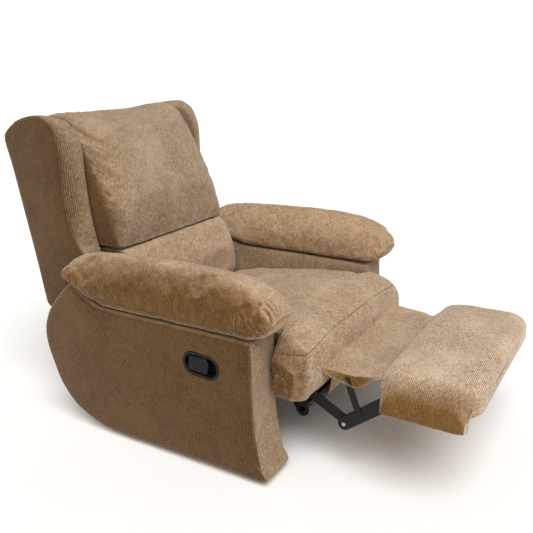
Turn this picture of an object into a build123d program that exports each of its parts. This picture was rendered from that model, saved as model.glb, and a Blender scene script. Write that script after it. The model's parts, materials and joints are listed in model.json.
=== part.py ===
"""Recliner armchair with its footrest raised: upholstered arms, boxed seat, reclining back.

Millimetres, +Z up, the sitter faces -Y, the origin is on the floor under the middle of the chair.
Side outlines are (y, z) pairs measured from the front plane of the arms.
"""
import os
from math import atan2, cos, degrees, hypot, radians, sin

from build123d import *

os.makedirs("parts", exist_ok=True)

# ---- driving dimensions -------------------------------------------------------------------------
ORIGIN_Y = 250.0          # the row origin lies this far behind the arm fronts
ARM_OUT = 484.0           # outer face of each arm box, from the centre plane
ARM_IN = 342.0            # inner face of each arm box
COVER = 14.0              # padding and fabric of an arm cover
FRAME_GAP = 2.0           # between an arm's timber and its cover
TIMBER = 45.0             # width of the arm timbers
PANEL_LOW = 20.0          # underside of the arm covers
FOOT_R = 18.0
FOOT_Y = (75.0, 470.0)
PILLOW_IN = 334.0
PILLOW_OUT = 496.0
PILLOW_LOW = 458.0
PILLOW_TOP = 618.0
PILLOW_ROUND = 60.0
TUBE_R = 11.0
TUBE_WALL = 1.6
PLATE = 4.0               # steel plate of the mechanism
SEAT_PLATE_X = 262.0      # inner face of each seat side plate
LOWER_LINK_X = 268.0
OTTOMAN_ARM_X = 276.0
OTTOMAN_ARM_DEPTH = 14.0
FOOT_BRACKET_X = 293.0
RECLINE_PLATE_X = 268.0
BACK_BRACKET_X = 274.0
PIN_R = 6.0
PIN_PLAY = 0.08           # radial clearance of every running pivot
DRIVE_TUBE_R = 9.0
SEAT_HALF = 330.0
EAR_HALF = 402.0          # the cushion's front wraps round in front of the arms
SEAT_FRAME_LOW = 286.0
SEAT_FRAME_TOP = 316.0
RAIL_LOW = 216.0
RAIL_HIGH = 256.0
RAIL_MIDDLE = (RAIL_LOW + RAIL_HIGH) / 2
RAIL_IN = 308.0
MOUNT_Y = (250.0, 540.0)   # bolts that hold the mechanism plates to the base rails
BACK_HALF = 300.0
WING_IN = 310.0
WING_OUT = 385.0
FOOTREST_HALF = 355.0
FOOTREST_FRONT = -565.0
FOOTREST_BACK = -285.0
FOOTREST_TOP = 395.0
FOOTREST_SKIRT = 262.0
BOARD_LOW = 296.0
BOARD_TOP = 308.0
HANDLE_AT = (200.0, 350.0)
HANDLE_TILT = 4.0
HANDLE_LENGTH = 132.0
HANDLE_HEIGHT = 78.0

# Pivots of the mechanism, (y, z) with the footrest raised.
LINK_SEAT = (20.0, 266.0)
KNEE = (-172.0, 165.0)
ARM_BEND = (-296.0, 262.0)
FOOTREST_PIVOT = (-450.0, 278.0)
STAY_LOW = (-218.0, 215.0)
STAY_TOP = (-180.0, 312.0)
RIVET_AT = ((596.0, 254.0), (610.0, 273.0))
RECLINE_PLATE_FOOT = (600.0, 262.0)
BACK_PIVOT = (660.0, 330.0)
CROSS_TUBE = (-20.0, 160.0)

# The rear face of the back: its foot and its top, in (y, z).
BACK_FOOT = (948.0, 379.0)
BACK_HEAD = (1066.0, 941.0)
BACK_ANGLE = atan2(BACK_HEAD[0] - BACK_FOOT[0], BACK_HEAD[1] - BACK_FOOT[1])
PANEL_THICK = 8.0
BACK_FRAME_FRONT = 110.0
BACK_RISE = 540.0         # height of the rear panel along the back's slope

SIDES = (("right", -1), ("left", 1))


def side_plane(x):
    """A plane facing +X whose local axes are the chair's y and z."""
    return Plane(origin=(x, -ORIGIN_Y, 0), x_dir=(0, 1, 0), z_dir=(1, 0, 0))


def floor_plane(z):
    """A level plane whose local axes are x and the chair's y."""
    return Plane(origin=(0, -ORIGIN_Y, z), x_dir=(1, 0, 0), z_dir=(0, 0, 1))


def front_plane(y):
    """An upright plane facing the sitter's feet, whose local axes are x and z."""
    return Plane(origin=(0, y - ORIGIN_Y, 0), x_dir=(1, 0, 0), z_dir=(0, -1, 0))


def rear_plane(forward):
    """A plane parallel to the back's rear face, facing the sitter; local y runs up the back."""
    normal = (0, -cos(BACK_ANGLE), sin(BACK_ANGLE))
    y = BACK_FOOT[0] - ORIGIN_Y + normal[1] * forward
    z = BACK_FOOT[1] + normal[2] * forward
    return Plane(origin=(0, y, z), x_dir=(1, 0, 0), z_dir=normal)


def slab(sign, inner, outer):
    """Start plane and thickness of a layer between two distances from the centre plane."""
    start = inner if sign > 0 else -outer
    return side_plane(start), outer - inner


def save(builder, name):
    """Label a finished sub-part and write its STEP file."""
    builder.part.label = name
    export_step(builder.part, f"parts/{name}.step")


ARM_TOP = [(719, 517), (687, 502), (636, 472), (565, 456), (30, 456), (27, 231)]

# ---- arms ---------------------------------------------------------------------------------------
for side, sign in SIDES:
    with BuildSketch() as arm_outline:
        with BuildLine():
            Line((-8, PANEL_LOW), (560, PANEL_LOW))
            ThreePointArc((560, PANEL_LOW), (735, 72), (832, 217))
            ThreePointArc((832, 217), (853, 310), (826, 405))
            Line((826, 405), ARM_TOP[0])
            Polyline(*ARM_TOP)
            ThreePointArc(ARM_TOP[-1], (15, 120), (-8, PANEL_LOW))
        make_face()
    outline = arm_outline.sketch

    plane, width = slab(sign, ARM_IN, ARM_OUT)
    with BuildPart() as arm_cover:
        with BuildSketch(plane):
            add(outline)
        extrude(amount=width)
        cavity, cavity_width = slab(sign, ARM_IN + COVER, ARM_OUT - COVER)
        with BuildSketch(cavity):
            offset(outline, amount=-COVER)
            with Locations((270, PANEL_LOW + COVER / 2)):
                Rectangle(460, COVER + 20)
        extrude(amount=cavity_width, mode=Mode.SUBTRACT)
        if side == "right":
            with BuildSketch(side_plane(-ARM_OUT - 5)):
                with Locations(HANDLE_AT):
                    SlotOverall(HANDLE_LENGTH - 12, HANDLE_HEIGHT - 12, rotation=HANDLE_TILT)
            extrude(amount=COVER + 10, mode=Mode.SUBTRACT)
    save(arm_cover, f"{side}_arm_cover")

    frame_plane, frame_width = slab(sign, ARM_IN + COVER + FRAME_GAP, ARM_IN + COVER + 72)
    with BuildPart() as arm_frame:
        with BuildSketch(frame_plane):
            offset(outline, amount=-COVER - FRAME_GAP)
            offset(outline, amount=-COVER - FRAME_GAP - TIMBER, mode=Mode.SUBTRACT)
            with Locations((330, 240)):
                Rectangle(TIMBER, 400)
        extrude(amount=frame_width)
    save(arm_frame, f"{side}_arm_frame")

    pillow_plane, pillow_width = slab(sign, PILLOW_IN, PILLOW_OUT)
    with BuildPart() as arm_pillow:
        with BuildSketch(pillow_plane):
            with BuildLine():
                Polyline((30, PILLOW_LOW), (566, PILLOW_LOW), (637, 474), (690, 505), (722, 522))
                Spline((722, 522), (738, 548), (716, 586), (640, 610), (420, PILLOW_TOP),
                       (150, 616), (20, 596), (-38, 548), (-44, 505), (-12, 470), (30, PILLOW_LOW))
            make_face()
        extrude(amount=pillow_width)
        with BuildSketch(front_plane(760)):
            with Locations((sign * (PILLOW_IN + PILLOW_OUT) / 2, (PILLOW_LOW + PILLOW_TOP) / 2)):
                RectangleRounded(PILLOW_OUT - PILLOW_IN, PILLOW_TOP - PILLOW_LOW + 1, PILLOW_ROUND)
        extrude(amount=820, mode=Mode.INTERSECT)
        with BuildSketch(side_plane(-WING_OUT - 12)):
            with BuildLine():
                Polyline((702, 640), (724, 585), (739, 525), (800, 500), (800, 640), close=True)
            make_face()
        extrude(amount=2 * (WING_OUT + 12), mode=Mode.SUBTRACT)
    save(arm_pillow, f"{side}_arm_pillow")

with BuildPart() as arm_feet:
    with BuildSketch(floor_plane(0)):
        with Locations([(sign * 396, y) for sign in (-1, 1) for y in FOOT_Y]):
            Circle(FOOT_R)
    extrude(amount=PANEL_LOW + COVER + FRAME_GAP, taper=3)
save(arm_feet, "arm_feet")

# ---- base between the arms ----------------------------------------------------------------------
with BuildPart() as rear_cross_rail:
    with BuildSketch(side_plane(-ARM_IN)):
        with Locations((770, 150)):
            Rectangle(22, 120)
    extrude(amount=2 * ARM_IN)
save(rear_cross_rail, "rear_cross_rail")

for name, tube_y in (("front_cross_tube", 430), ("rear_cross_tube", 690)):
    with BuildPart() as cross_tube:
        with BuildSketch(side_plane(-ARM_IN)):
            with Locations((tube_y, RAIL_LOW - TUBE_R - 4)):
                Circle(TUBE_R)
                Circle(TUBE_R - TUBE_WALL, mode=Mode.SUBTRACT)
        extrude(amount=2 * ARM_IN)
    save(cross_tube, name)

RAIL_BOLT_Y = (180, 380, 600)
for side, sign in SIDES:
    with BuildPart() as base_rail:
        with BuildSketch(slab(sign, RAIL_IN, ARM_IN)[0]):
            with Locations((430, RAIL_MIDDLE)):
                Rectangle(560, RAIL_HIGH - RAIL_LOW)
        extrude(amount=ARM_IN - RAIL_IN)
        with BuildSketch(slab(sign, RAIL_IN, ARM_IN - 3)[0]):
            with Locations((430, RAIL_MIDDLE + 3)):
                Rectangle(560, RAIL_HIGH - RAIL_LOW)
        extrude(amount=ARM_IN - 3 - RAIL_IN, mode=Mode.SUBTRACT)
    save(base_rail, f"{side}_base_rail")

with BuildPart() as rail_bolts:
    for side, sign in SIDES:
        head_start = ARM_IN - 6 if sign > 0 else -(ARM_IN - 3)
        with BuildSketch(side_plane(head_start)):
            with Locations([(y, RAIL_MIDDLE) for y in RAIL_BOLT_Y]):
                RegularPolygon(6.5, 6)
        extrude(amount=3)
save(rail_bolts, "rail_bolts")

# ---- seat ---------------------------------------------------------------------------------------
SEAT_SIDE = [(46, 236), (36, 214), (12, 206), (-30, 211), (-70, 238), (-94, 282), (-100, 332),
             (-90, 380), (-64, 415), (-10, 436), (60, 437), (250, 418), (440, 390), (520, 374)]
with BuildPart() as seat_cushion:
    with BuildSketch(side_plane(-SEAT_HALF)):
        with BuildLine():
            Polyline((46, 236), (46, SEAT_FRAME_TOP), (600, SEAT_FRAME_TOP), (600, 338), (542, 340),
                     (538, 352), (520, 374))
            Spline(*SEAT_SIDE)
        make_face()
    extrude(amount=2 * SEAT_HALF)
    with BuildSketch(front_plane(620)):
        with Locations((0, 320)):
            RectangleRounded(2 * SEAT_HALF, 236, 26)
    extrude(amount=740, mode=Mode.INTERSECT)
    with BuildSketch(side_plane(-EAR_HALF)):
        with BuildLine():
            Polyline((14, 270), (18, 300), (18, 380), (8, 412))
            Spline((8, 412), (-30, 424), (-66, 404), (-90, 368), (-99, 325), (-90, 283), (-64, 254),
                   (-20, 243), (14, 270))
        make_face()
    extrude(amount=2 * EAR_HALF)
    with BuildSketch(floor_plane(200)):
        with Locations((0, 0)):
            Rectangle(2 * SEAT_HALF - 56, 104)
    extrude(amount=SEAT_FRAME_LOW - 200, mode=Mode.SUBTRACT)
    with BuildSketch(floor_plane(200)):
        with Locations([(sign * 281, -66) for sign in (-1, 1)]):
            Rectangle(42, 30)
    extrude(amount=48, mode=Mode.SUBTRACT)
save(seat_cushion, "seat_cushion")

with BuildPart() as seat_frame:
    with BuildSketch(floor_plane(SEAT_FRAME_LOW)):
        with Locations((0, 300)):
            Rectangle(640, 500)
            Rectangle(560, 420, mode=Mode.SUBTRACT)
    extrude(amount=SEAT_FRAME_TOP - SEAT_FRAME_LOW)
    with BuildSketch(floor_plane(SEAT_FRAME_TOP - 9)):
        with Locations((0, 300)):
            Rectangle(572, 432)
    extrude(amount=9, mode=Mode.SUBTRACT)
save(seat_frame, "seat_frame")


def wave(length, width, pitch):
    """Corner points of a sinuous spring that runs along local y, centred on the origin."""
    rows = int(length // pitch)
    points = [(0, -length / 2)]
    for row in range(rows):
        y = -length / 2 + (row + 0.5) * pitch
        points.append((width / 2 * (1 if row % 2 else -1), y - pitch * 0.2))
        points.append((width / 2 * (1 if row % 2 else -1), y + pitch * 0.2))
    points.append((0, length / 2))
    return points


SPRING_WIRE = 4.0
with BuildPart() as seat_springs:
    for column in range(5):
        spring_x = -200 + 100 * column
        with BuildSketch(floor_plane(SEAT_FRAME_TOP - 7)):
            with BuildLine():
                Polyline(*[(spring_x + x, 300 + y) for x, y in wave(426, 52, 24)])
            trace(line_width=SPRING_WIRE)
        extrude(amount=SPRING_WIRE)
save(seat_springs, "seat_springs")

for side, sign in SIDES:
    plate_plane, _ = slab(sign, SEAT_PLATE_X, SEAT_PLATE_X + PLATE)
    with BuildPart() as seat_plate:
        with BuildSketch(plate_plane):
            with BuildLine():
                Polyline((-42, 152), (-8, 142), (40, 222), (560, 222), (584, 240), (620, 240),
                         (620, 285.7), (0, 285.7), (-30, 250), close=True)
            make_face()
            with Locations(CROSS_TUBE):
                Circle(22)
                Circle(TUBE_R, mode=Mode.SUBTRACT)
            with Locations(LINK_SEAT):
                Circle(DRIVE_TUBE_R + PIN_PLAY, mode=Mode.SUBTRACT)
            with Locations([(y, RAIL_MIDDLE) for y in MOUNT_Y]):
                Circle(PIN_R, mode=Mode.SUBTRACT)
            with Locations(*RIVET_AT):
                Circle(PIN_R, mode=Mode.SUBTRACT)
        extrude(amount=PLATE)
        flange, flange_width = slab(sign, SEAT_PLATE_X - 24, SEAT_PLATE_X)
        with BuildSketch(flange):
            with Locations((325, 283.7)):
                Rectangle(440, 4)
        extrude(amount=flange_width)
    save(seat_plate, f"{side}_seat_plate")

with BuildPart() as seat_cross_tube:
    reach = SEAT_PLATE_X + PLATE
    with BuildSketch(side_plane(-reach)):
        with Locations(CROSS_TUBE):
            Circle(TUBE_R)
            Circle(TUBE_R - TUBE_WALL, mode=Mode.SUBTRACT)
    extrude(amount=2 * reach)
save(seat_cross_tube, "seat_cross_tube")

with BuildPart() as mount_spacers:
    for side, sign in SIDES:
        spacer_plane, spacer_width = slab(sign, SEAT_PLATE_X + PLATE, ARM_IN - 3)
        with BuildSketch(spacer_plane):
            with Locations([(y, RAIL_MIDDLE) for y in MOUNT_Y]):
                Circle(12)
                Circle(PIN_R, mode=Mode.SUBTRACT)
        extrude(amount=spacer_width)
save(mount_spacers, "mount_spacers")

with BuildPart() as mount_bolts:
    for side, sign in SIDES:
        bolt_plane, bolt_width = slab(sign, SEAT_PLATE_X - 5, ARM_IN - 3)
        with BuildSketch(bolt_plane):
            with Locations([(y, RAIL_MIDDLE) for y in MOUNT_Y]):
                Circle(PIN_R)
        extrude(amount=bolt_width)
        head_plane, _ = slab(sign, SEAT_PLATE_X - 7, SEAT_PLATE_X)
        with BuildSketch(head_plane):
            with Locations([(y, RAIL_MIDDLE) for y in MOUNT_Y]):
                RegularPolygon(11, 6)
        extrude(amount=7)
save(mount_bolts, "mount_bolts")

with BuildPart() as recline_rivets:
    for side, sign in SIDES:
        rivet_plane, rivet_width = slab(sign, SEAT_PLATE_X, RECLINE_PLATE_X + PLATE + 2)
        with BuildSketch(rivet_plane):
            with Locations(*RIVET_AT):
                Circle(PIN_R)
        extrude(amount=rivet_width)
save(recline_rivets, "recline_rivets")

TAIL_HALF = 262.0
with BuildPart() as flap_tail:
    with BuildSketch(side_plane(-TAIL_HALF + 6)):
        with BuildLine():
            Polyline((-107, 318), (-109, 262), (-100, 226), (-78, 202), (-34, 174))
        trace(line_width=4)
    extrude(amount=2 * (TAIL_HALF - 6))
save(flap_tail, "flap_tail")

# ---- footrest mechanism -------------------------------------------------------------------------
with BuildPart() as drive_tube:
    tube_reach = LOWER_LINK_X + PLATE
    with BuildSketch(side_plane(-tube_reach)):
        with Locations(LINK_SEAT):
            Circle(DRIVE_TUBE_R)
            Circle(DRIVE_TUBE_R - TUBE_WALL, mode=Mode.SUBTRACT)
    extrude(amount=2 * tube_reach)
save(drive_tube, "drive_tube")


def bar(start, end, height):
    """A link outline with rounded ends about its two pivots, for the current sketch."""
    middle = ((start[0] + end[0]) / 2, (start[1] + end[1]) / 2)
    length = hypot(end[0] - start[0], end[1] - start[1])
    angle = degrees(atan2(end[1] - start[1], end[0] - start[0]))
    with Locations(middle):
        SlotCenterToCenter(length, height, rotation=angle)


for side, sign in SIDES:
    with BuildPart() as lower_link:
        with BuildSketch(slab(sign, LOWER_LINK_X, LOWER_LINK_X + PLATE)[0]):
            bar(LINK_SEAT, KNEE, 34)
            with Locations(LINK_SEAT):
                Circle(DRIVE_TUBE_R, mode=Mode.SUBTRACT)
            with Locations(KNEE):
                Circle(PIN_R, mode=Mode.SUBTRACT)
        extrude(amount=PLATE)
    save(lower_link, f"{side}_lower_link")

    with BuildPart() as ottoman_arm:
        arm_plane, arm_depth = slab(sign, OTTOMAN_ARM_X, OTTOMAN_ARM_X + OTTOMAN_ARM_DEPTH)
        with BuildSketch(arm_plane):
            bar(KNEE, ARM_BEND, 40)
            bar(ARM_BEND, FOOTREST_PIVOT, 28)
        extrude(amount=arm_depth)
        hollow_plane, hollow_depth = slab(sign, OTTOMAN_ARM_X - 1, OTTOMAN_ARM_X + 10)
        with BuildSketch(hollow_plane):
            bar(KNEE, ARM_BEND, 34)
            bar(ARM_BEND, FOOTREST_PIVOT, 22)
        extrude(amount=hollow_depth, mode=Mode.SUBTRACT)
        with BuildSketch(side_plane(-350)):
            for pivot in (KNEE, FOOTREST_PIVOT):
                with Locations(pivot):
                    Circle(PIN_R + PIN_PLAY)
        extrude(amount=700, mode=Mode.SUBTRACT)
    save(ottoman_arm, f"{side}_ottoman_arm")

    with BuildPart() as flap_stay:
        stay_start = OTTOMAN_ARM_X + OTTOMAN_ARM_DEPTH
        with BuildSketch(slab(sign, stay_start, stay_start + PLATE)[0]):
            bar(STAY_LOW, STAY_TOP, 20)
        extrude(amount=PLATE)
    save(flap_stay, f"{side}_flap_stay")

    with BuildPart() as footrest_bracket:
        with BuildSketch(slab(sign, FOOT_BRACKET_X, FOOT_BRACKET_X + PLATE)[0]):
            with BuildLine():
                Polyline((-530, BOARD_LOW), (-330, BOARD_LOW), (-330, 286), (-420, 282),
                         (-436, 264), (-464, 264), (-480, 282), (-530, 286), close=True)
            make_face()
            with Locations(FOOTREST_PIVOT):
                Circle(PIN_R, mode=Mode.SUBTRACT)
        extrude(amount=PLATE)
        foot_flange, foot_width = slab(sign, FOOT_BRACKET_X - 22, FOOT_BRACKET_X)
        with BuildSketch(foot_flange):
            with Locations((-500, BOARD_LOW - 2), (-360, BOARD_LOW - 2)):
                Rectangle(50, 4)
        extrude(amount=foot_width)
    save(footrest_bracket, f"{side}_footrest_bracket")

with BuildPart() as knee_pins:
    for side, sign in SIDES:
        pin_plane, pin_width = slab(sign, LOWER_LINK_X, OTTOMAN_ARM_X + OTTOMAN_ARM_DEPTH + 3)
        with BuildSketch(pin_plane):
            with Locations(KNEE):
                Circle(PIN_R)
        extrude(amount=pin_width)
save(knee_pins, "knee_pins")

with BuildPart() as footrest_pins:
    for side, sign in SIDES:
        pin_plane, pin_width = slab(sign, OTTOMAN_ARM_X + 6, FOOT_BRACKET_X + PLATE)
        with BuildSketch(pin_plane):
            with Locations(FOOTREST_PIVOT):
                Circle(PIN_R)
        extrude(amount=pin_width)
save(footrest_pins, "footrest_pins")

with BuildPart() as footrest_board:
    with BuildSketch(floor_plane(BOARD_LOW)):
        with Locations((0, -428)):
            Rectangle(640, 216)
    extrude(amount=BOARD_TOP - BOARD_LOW)
save(footrest_board, "footrest_board")

with BuildPart() as footrest_pad:
    with BuildSketch(side_plane(-FOOTREST_HALF)):
        with BuildLine():
            Polyline((-300, FOOTREST_SKIRT + 12), (-525, FOOTREST_SKIRT))
            Spline((-525, FOOTREST_SKIRT), (-557, 290), (FOOTREST_FRONT, 340), (-552, 380),
                   (-520, 393), (-430, FOOTREST_TOP), (-330, 394), (-298, 378),
                   (FOOTREST_BACK, 335), (-300, FOOTREST_SKIRT + 12))
        make_face()
    extrude(amount=2 * FOOTREST_HALF)
    with BuildSketch(floor_plane(FOOTREST_SKIRT - 5)):
        with Locations((0, -408)):
            Rectangle(2 * FOOTREST_HALF - 44, 264)
    extrude(amount=BOARD_TOP - FOOTREST_SKIRT + 5, mode=Mode.SUBTRACT)
save(footrest_pad, "footrest_pad")

FLAP_HALF = 268.0
with BuildPart() as bridge_flap:
    with BuildSketch(side_plane(-FLAP_HALF)):
        with BuildLine():
            Spline((-284, 352), (-245, 341), (-200, 333), (-160, 334), (-112, 336))
        trace(line_width=4)
    extrude(amount=2 * FLAP_HALF)
save(bridge_flap, "bridge_flap")

# ---- recline plates ---------------------------------------------------------------------------
for side, sign in SIDES:
    with BuildPart() as recline_plate:
        with BuildSketch(slab(sign, RECLINE_PLATE_X, RECLINE_PLATE_X + PLATE)[0]):
            bar(RECLINE_PLATE_FOOT, BACK_PIVOT, 40)
            with Locations(*RIVET_AT):
                Circle(PIN_R, mode=Mode.SUBTRACT)
            with Locations(BACK_PIVOT):
                Circle(PIN_R, mode=Mode.SUBTRACT)
        extrude(amount=PLATE)
    save(recline_plate, f"{side}_recline_plate")

with BuildPart() as recline_tube:
    recline_reach = RECLINE_PLATE_X
    with BuildSketch(side_plane(-recline_reach)):
        with Locations((RECLINE_PLATE_FOOT[0] + 30, RECLINE_PLATE_FOOT[1] + 34)):
            Circle(8)
            Circle(8 - TUBE_WALL, mode=Mode.SUBTRACT)
    extrude(amount=2 * recline_reach)
save(recline_tube, "recline_tube")

with BuildPart() as back_pins:
    for side, sign in SIDES:
        pin_plane, pin_width = slab(sign, RECLINE_PLATE_X, BACK_BRACKET_X + PLATE + 2)
        with BuildSketch(pin_plane):
            with Locations(BACK_PIVOT):
                Circle(PIN_R)
        extrude(amount=pin_width)
save(back_pins, "back_pins")

# ---- back ---------------------------------------------------------------------------------------
with BuildPart() as rear_panel:
    with BuildSketch(rear_plane(0)):
        with Locations((0, BACK_RISE / 2)):
            Rectangle(2 * WING_IN - 1, BACK_RISE)
    extrude(amount=PANEL_THICK)
save(rear_panel, "rear_panel")

with BuildPart() as back_frame:
    with BuildSketch(rear_plane(PANEL_THICK)):
        with Locations((0, BACK_RISE / 2 + 5)):
            Rectangle(2 * BACK_HALF, BACK_RISE - 10)
            Rectangle(2 * BACK_HALF - 44, BACK_RISE - 100, mode=Mode.SUBTRACT)
    extrude(amount=BACK_FRAME_FRONT - PANEL_THICK)
save(back_frame, "back_frame")

with BuildPart() as back_springs:
    for row in range(4):
        with BuildSketch(rear_plane(BACK_FRAME_FRONT - 16)):
            with BuildLine():
                Polyline(*[(y, 140 + 90 * row + x) for x, y in wave(2 * BACK_HALF - 52, 46, 24)])
            trace(line_width=SPRING_WIRE)
        extrude(amount=SPRING_WIRE)
save(back_springs, "back_springs")

for side, sign in SIDES:
    with BuildPart() as back_bracket:
        with BuildSketch(slab(sign, BACK_BRACKET_X, BACK_BRACKET_X + PLATE)[0]):
            with BuildLine():
                Polyline((650, 310), (682, 312), (838, 392), (842, 412), (854, 469), (838, 464),
                         (664, 350), (644, 344), close=True)
            make_face()
            with Locations(BACK_PIVOT):
                Circle(21)
                Circle(PIN_R + PIN_PLAY, mode=Mode.SUBTRACT)
        extrude(amount=PLATE)
        with BuildSketch(rear_plane(BACK_FRAME_FRONT)):
            with Locations((sign * (BACK_BRACKET_X + PLATE - 14), 40)):
                Rectangle(28, 60)
        extrude(amount=PLATE)
    save(back_bracket, f"{side}_back_bracket")

    wing_outer = [(742, 579), (792, 666), (811, 760), (812, 890), (831, 992), (890, 1028),
                  (980, 1006), (1054, 964), (1066, 941), (948, 379), (940, 360), (888, 356),
                  (850, 425), (804, 478), (762, 526)]
    wing_inner = [(727, 582), (756, 690), (765, 785), (769, 880), (792, 972), (850, 1017),
                  (950, 1010), (1050, 966), (1064, 941), (948, 379), (940, 360), (888, 356),
                  (850, 425), (804, 478), (756, 530)]
    with BuildPart() as wing:
        with BuildSketch(side_plane(sign * WING_IN)):
            with BuildLine():
                Polyline(*wing_inner, close=True)
            make_face()
        with BuildSketch(side_plane(sign * WING_OUT)):
            with BuildLine():
                Polyline(*wing_outer, close=True)
            make_face()
        loft(ruled=True)
    save(wing, f"{side}_wing")

CUSHION_SEAM = 589.0
with BuildPart() as upper_back_cushion:
    with BuildSketch(side_plane(-WING_IN + 2)):
        with BuildLine():
            Polyline((652, CUSHION_SEAM), (877, CUSHION_SEAM), (949, 933), (1061, 911), (1066, 930))
            Spline((1066, 930), (1046, 968), (990, 1004), (920, 1028), (860, 1018), (800, 966),
                   (732, 868), (676, 762), (652, 690), (643, 630), (652, CUSHION_SEAM))
        make_face()
    extrude(amount=2 * (WING_IN - 2))
save(upper_back_cushion, "upper_back_cushion")

with BuildPart() as lumbar_cushion:
    with BuildSketch(side_plane(-295)):
        with BuildLine():
            Polyline((644, CUSHION_SEAM - 1), (878, CUSHION_SEAM - 1), (856, 484), (660, 364), (600, 352))
            Spline((600, 352), (576, 362), (570, 400), (578, 459), (607, 534), (644, CUSHION_SEAM - 1))
        make_face()
    extrude(amount=590)
save(lumbar_cushion, "lumbar_cushion")

# ---- release handle -----------------------------------------------------------------------------
BEZEL_RIM = 4.0
CUP_WALL = 3.0
CUP_DEPTH = 30.0
CUP_LENGTH = HANDLE_LENGTH - 13
CUP_HEIGHT = HANDLE_HEIGHT - 13


def handle_plane(depth):
    """A plane in the handle's own tilt, a given depth inside the arm's outer face, facing +X."""
    base = side_plane(-ARM_OUT + depth)
    tilt = radians(HANDLE_TILT)
    origin = base.from_local_coords((HANDLE_AT[0], HANDLE_AT[1], 0))
    return Plane(origin=origin, x_dir=(0, cos(tilt), sin(tilt)), z_dir=(1, 0, 0))


with BuildPart() as handle_bezel:
    with BuildSketch(handle_plane(-BEZEL_RIM)):
        SlotOverall(HANDLE_LENGTH, HANDLE_HEIGHT)
    extrude(amount=BEZEL_RIM)
    with BuildSketch(handle_plane(0)):
        SlotOverall(CUP_LENGTH, CUP_HEIGHT)
    extrude(amount=CUP_DEPTH)
    with BuildSketch(handle_plane(-BEZEL_RIM)):
        SlotOverall(CUP_LENGTH - 2 * CUP_WALL, CUP_HEIGHT - 2 * CUP_WALL)
    extrude(amount=BEZEL_RIM + CUP_DEPTH - CUP_WALL, mode=Mode.SUBTRACT)
    rim_face = handle_bezel.faces().sort_by(Axis.X)[0]
    fillet(rim_face.outer_wire().edges(), radius=2.5)
save(handle_bezel, "handle_bezel")

HANDLE_PIN_AT = 34.0
with BuildPart() as handle_pin:
    pin_origin = handle_plane(6).from_local_coords((HANDLE_PIN_AT, -(CUP_HEIGHT / 2 - 5), 0))
    pin_dir = handle_plane(6).y_dir
    with BuildSketch(Plane(origin=pin_origin, z_dir=pin_dir)):
        Circle(2.5)
    extrude(amount=CUP_HEIGHT - 10)
save(handle_pin, "handle_pin")

with BuildPart() as release_handle:
    with BuildSketch(handle_plane(-2)):
        with BuildLine():
            Polyline((44, -22), (44, 22), (-18, 25))
            ThreePointArc((-18, 25), (-25, 0), (-18, -25))
            Line((-18, -25), (44, -22))
        make_face()
    extrude(amount=5)
    barrel_origin = handle_plane(6).from_local_coords((HANDLE_PIN_AT, -21, 0))
    with BuildSketch(Plane(origin=barrel_origin, z_dir=pin_dir)):
        Circle(6)
    extrude(amount=42)
    with BuildSketch(Plane(origin=pin_origin, z_dir=pin_dir)):
        Circle(2.5 + PIN_PLAY)
    extrude(amount=CUP_HEIGHT, mode=Mode.SUBTRACT)
    with BuildSketch(handle_plane(3)):
        with Locations((-19, 0)):
            Rectangle(4, 40)
    extrude(amount=6)
save(release_handle, "release_handle")
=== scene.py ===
import json
import math
import bmesh
import bpy
import numpy as np
from mathutils import Matrix, Vector


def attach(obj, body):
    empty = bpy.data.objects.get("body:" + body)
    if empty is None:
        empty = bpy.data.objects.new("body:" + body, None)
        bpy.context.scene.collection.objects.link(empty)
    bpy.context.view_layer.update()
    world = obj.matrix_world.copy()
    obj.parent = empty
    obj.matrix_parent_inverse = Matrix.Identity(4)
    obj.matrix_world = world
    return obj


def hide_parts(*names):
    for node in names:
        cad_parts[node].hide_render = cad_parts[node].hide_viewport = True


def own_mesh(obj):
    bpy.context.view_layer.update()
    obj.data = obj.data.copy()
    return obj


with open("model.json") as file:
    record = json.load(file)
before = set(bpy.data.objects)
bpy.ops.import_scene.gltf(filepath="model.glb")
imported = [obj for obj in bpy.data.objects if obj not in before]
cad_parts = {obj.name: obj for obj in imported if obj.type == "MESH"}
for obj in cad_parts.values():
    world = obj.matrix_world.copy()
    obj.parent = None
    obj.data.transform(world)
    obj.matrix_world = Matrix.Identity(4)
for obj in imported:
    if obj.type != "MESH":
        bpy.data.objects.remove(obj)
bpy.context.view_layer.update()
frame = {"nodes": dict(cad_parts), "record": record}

originY = 0.250   # outlines below are measured from the arm fronts, this far ahead of the row origin


def mixed(a, b, t):
    # straight blend: a where t is 0, b where t is 1
    return a + (b - a) * t


def smooth(x, low, high):
    # 0 below low, 1 above high, eased with 3t^2 - 2t^3 between
    t = np.clip((x - low) / (high - low), 0, 1)
    return t * t * (3 - 2 * t)


def bell(x, centre, width):
    # exp(-(distance / width)^2)
    return np.exp(-((x - centre) / width) ** 2)


def ripple(p, seed, scale):
    # lumpy field in about -1..1: the product sum of nine sine waves of mixed directions
    rng = np.random.default_rng(seed)
    total = np.zeros(p.shape[:-1])
    for octave in range(3):
        for _ in range(3):
            direction = rng.normal(size=3)
            direction = direction / np.linalg.norm(direction) * scale * 1.9 ** octave
            total += np.sin(p @ direction + rng.uniform(0, 6.28)) / 1.8 ** octave
    return total / 4.2


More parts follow.
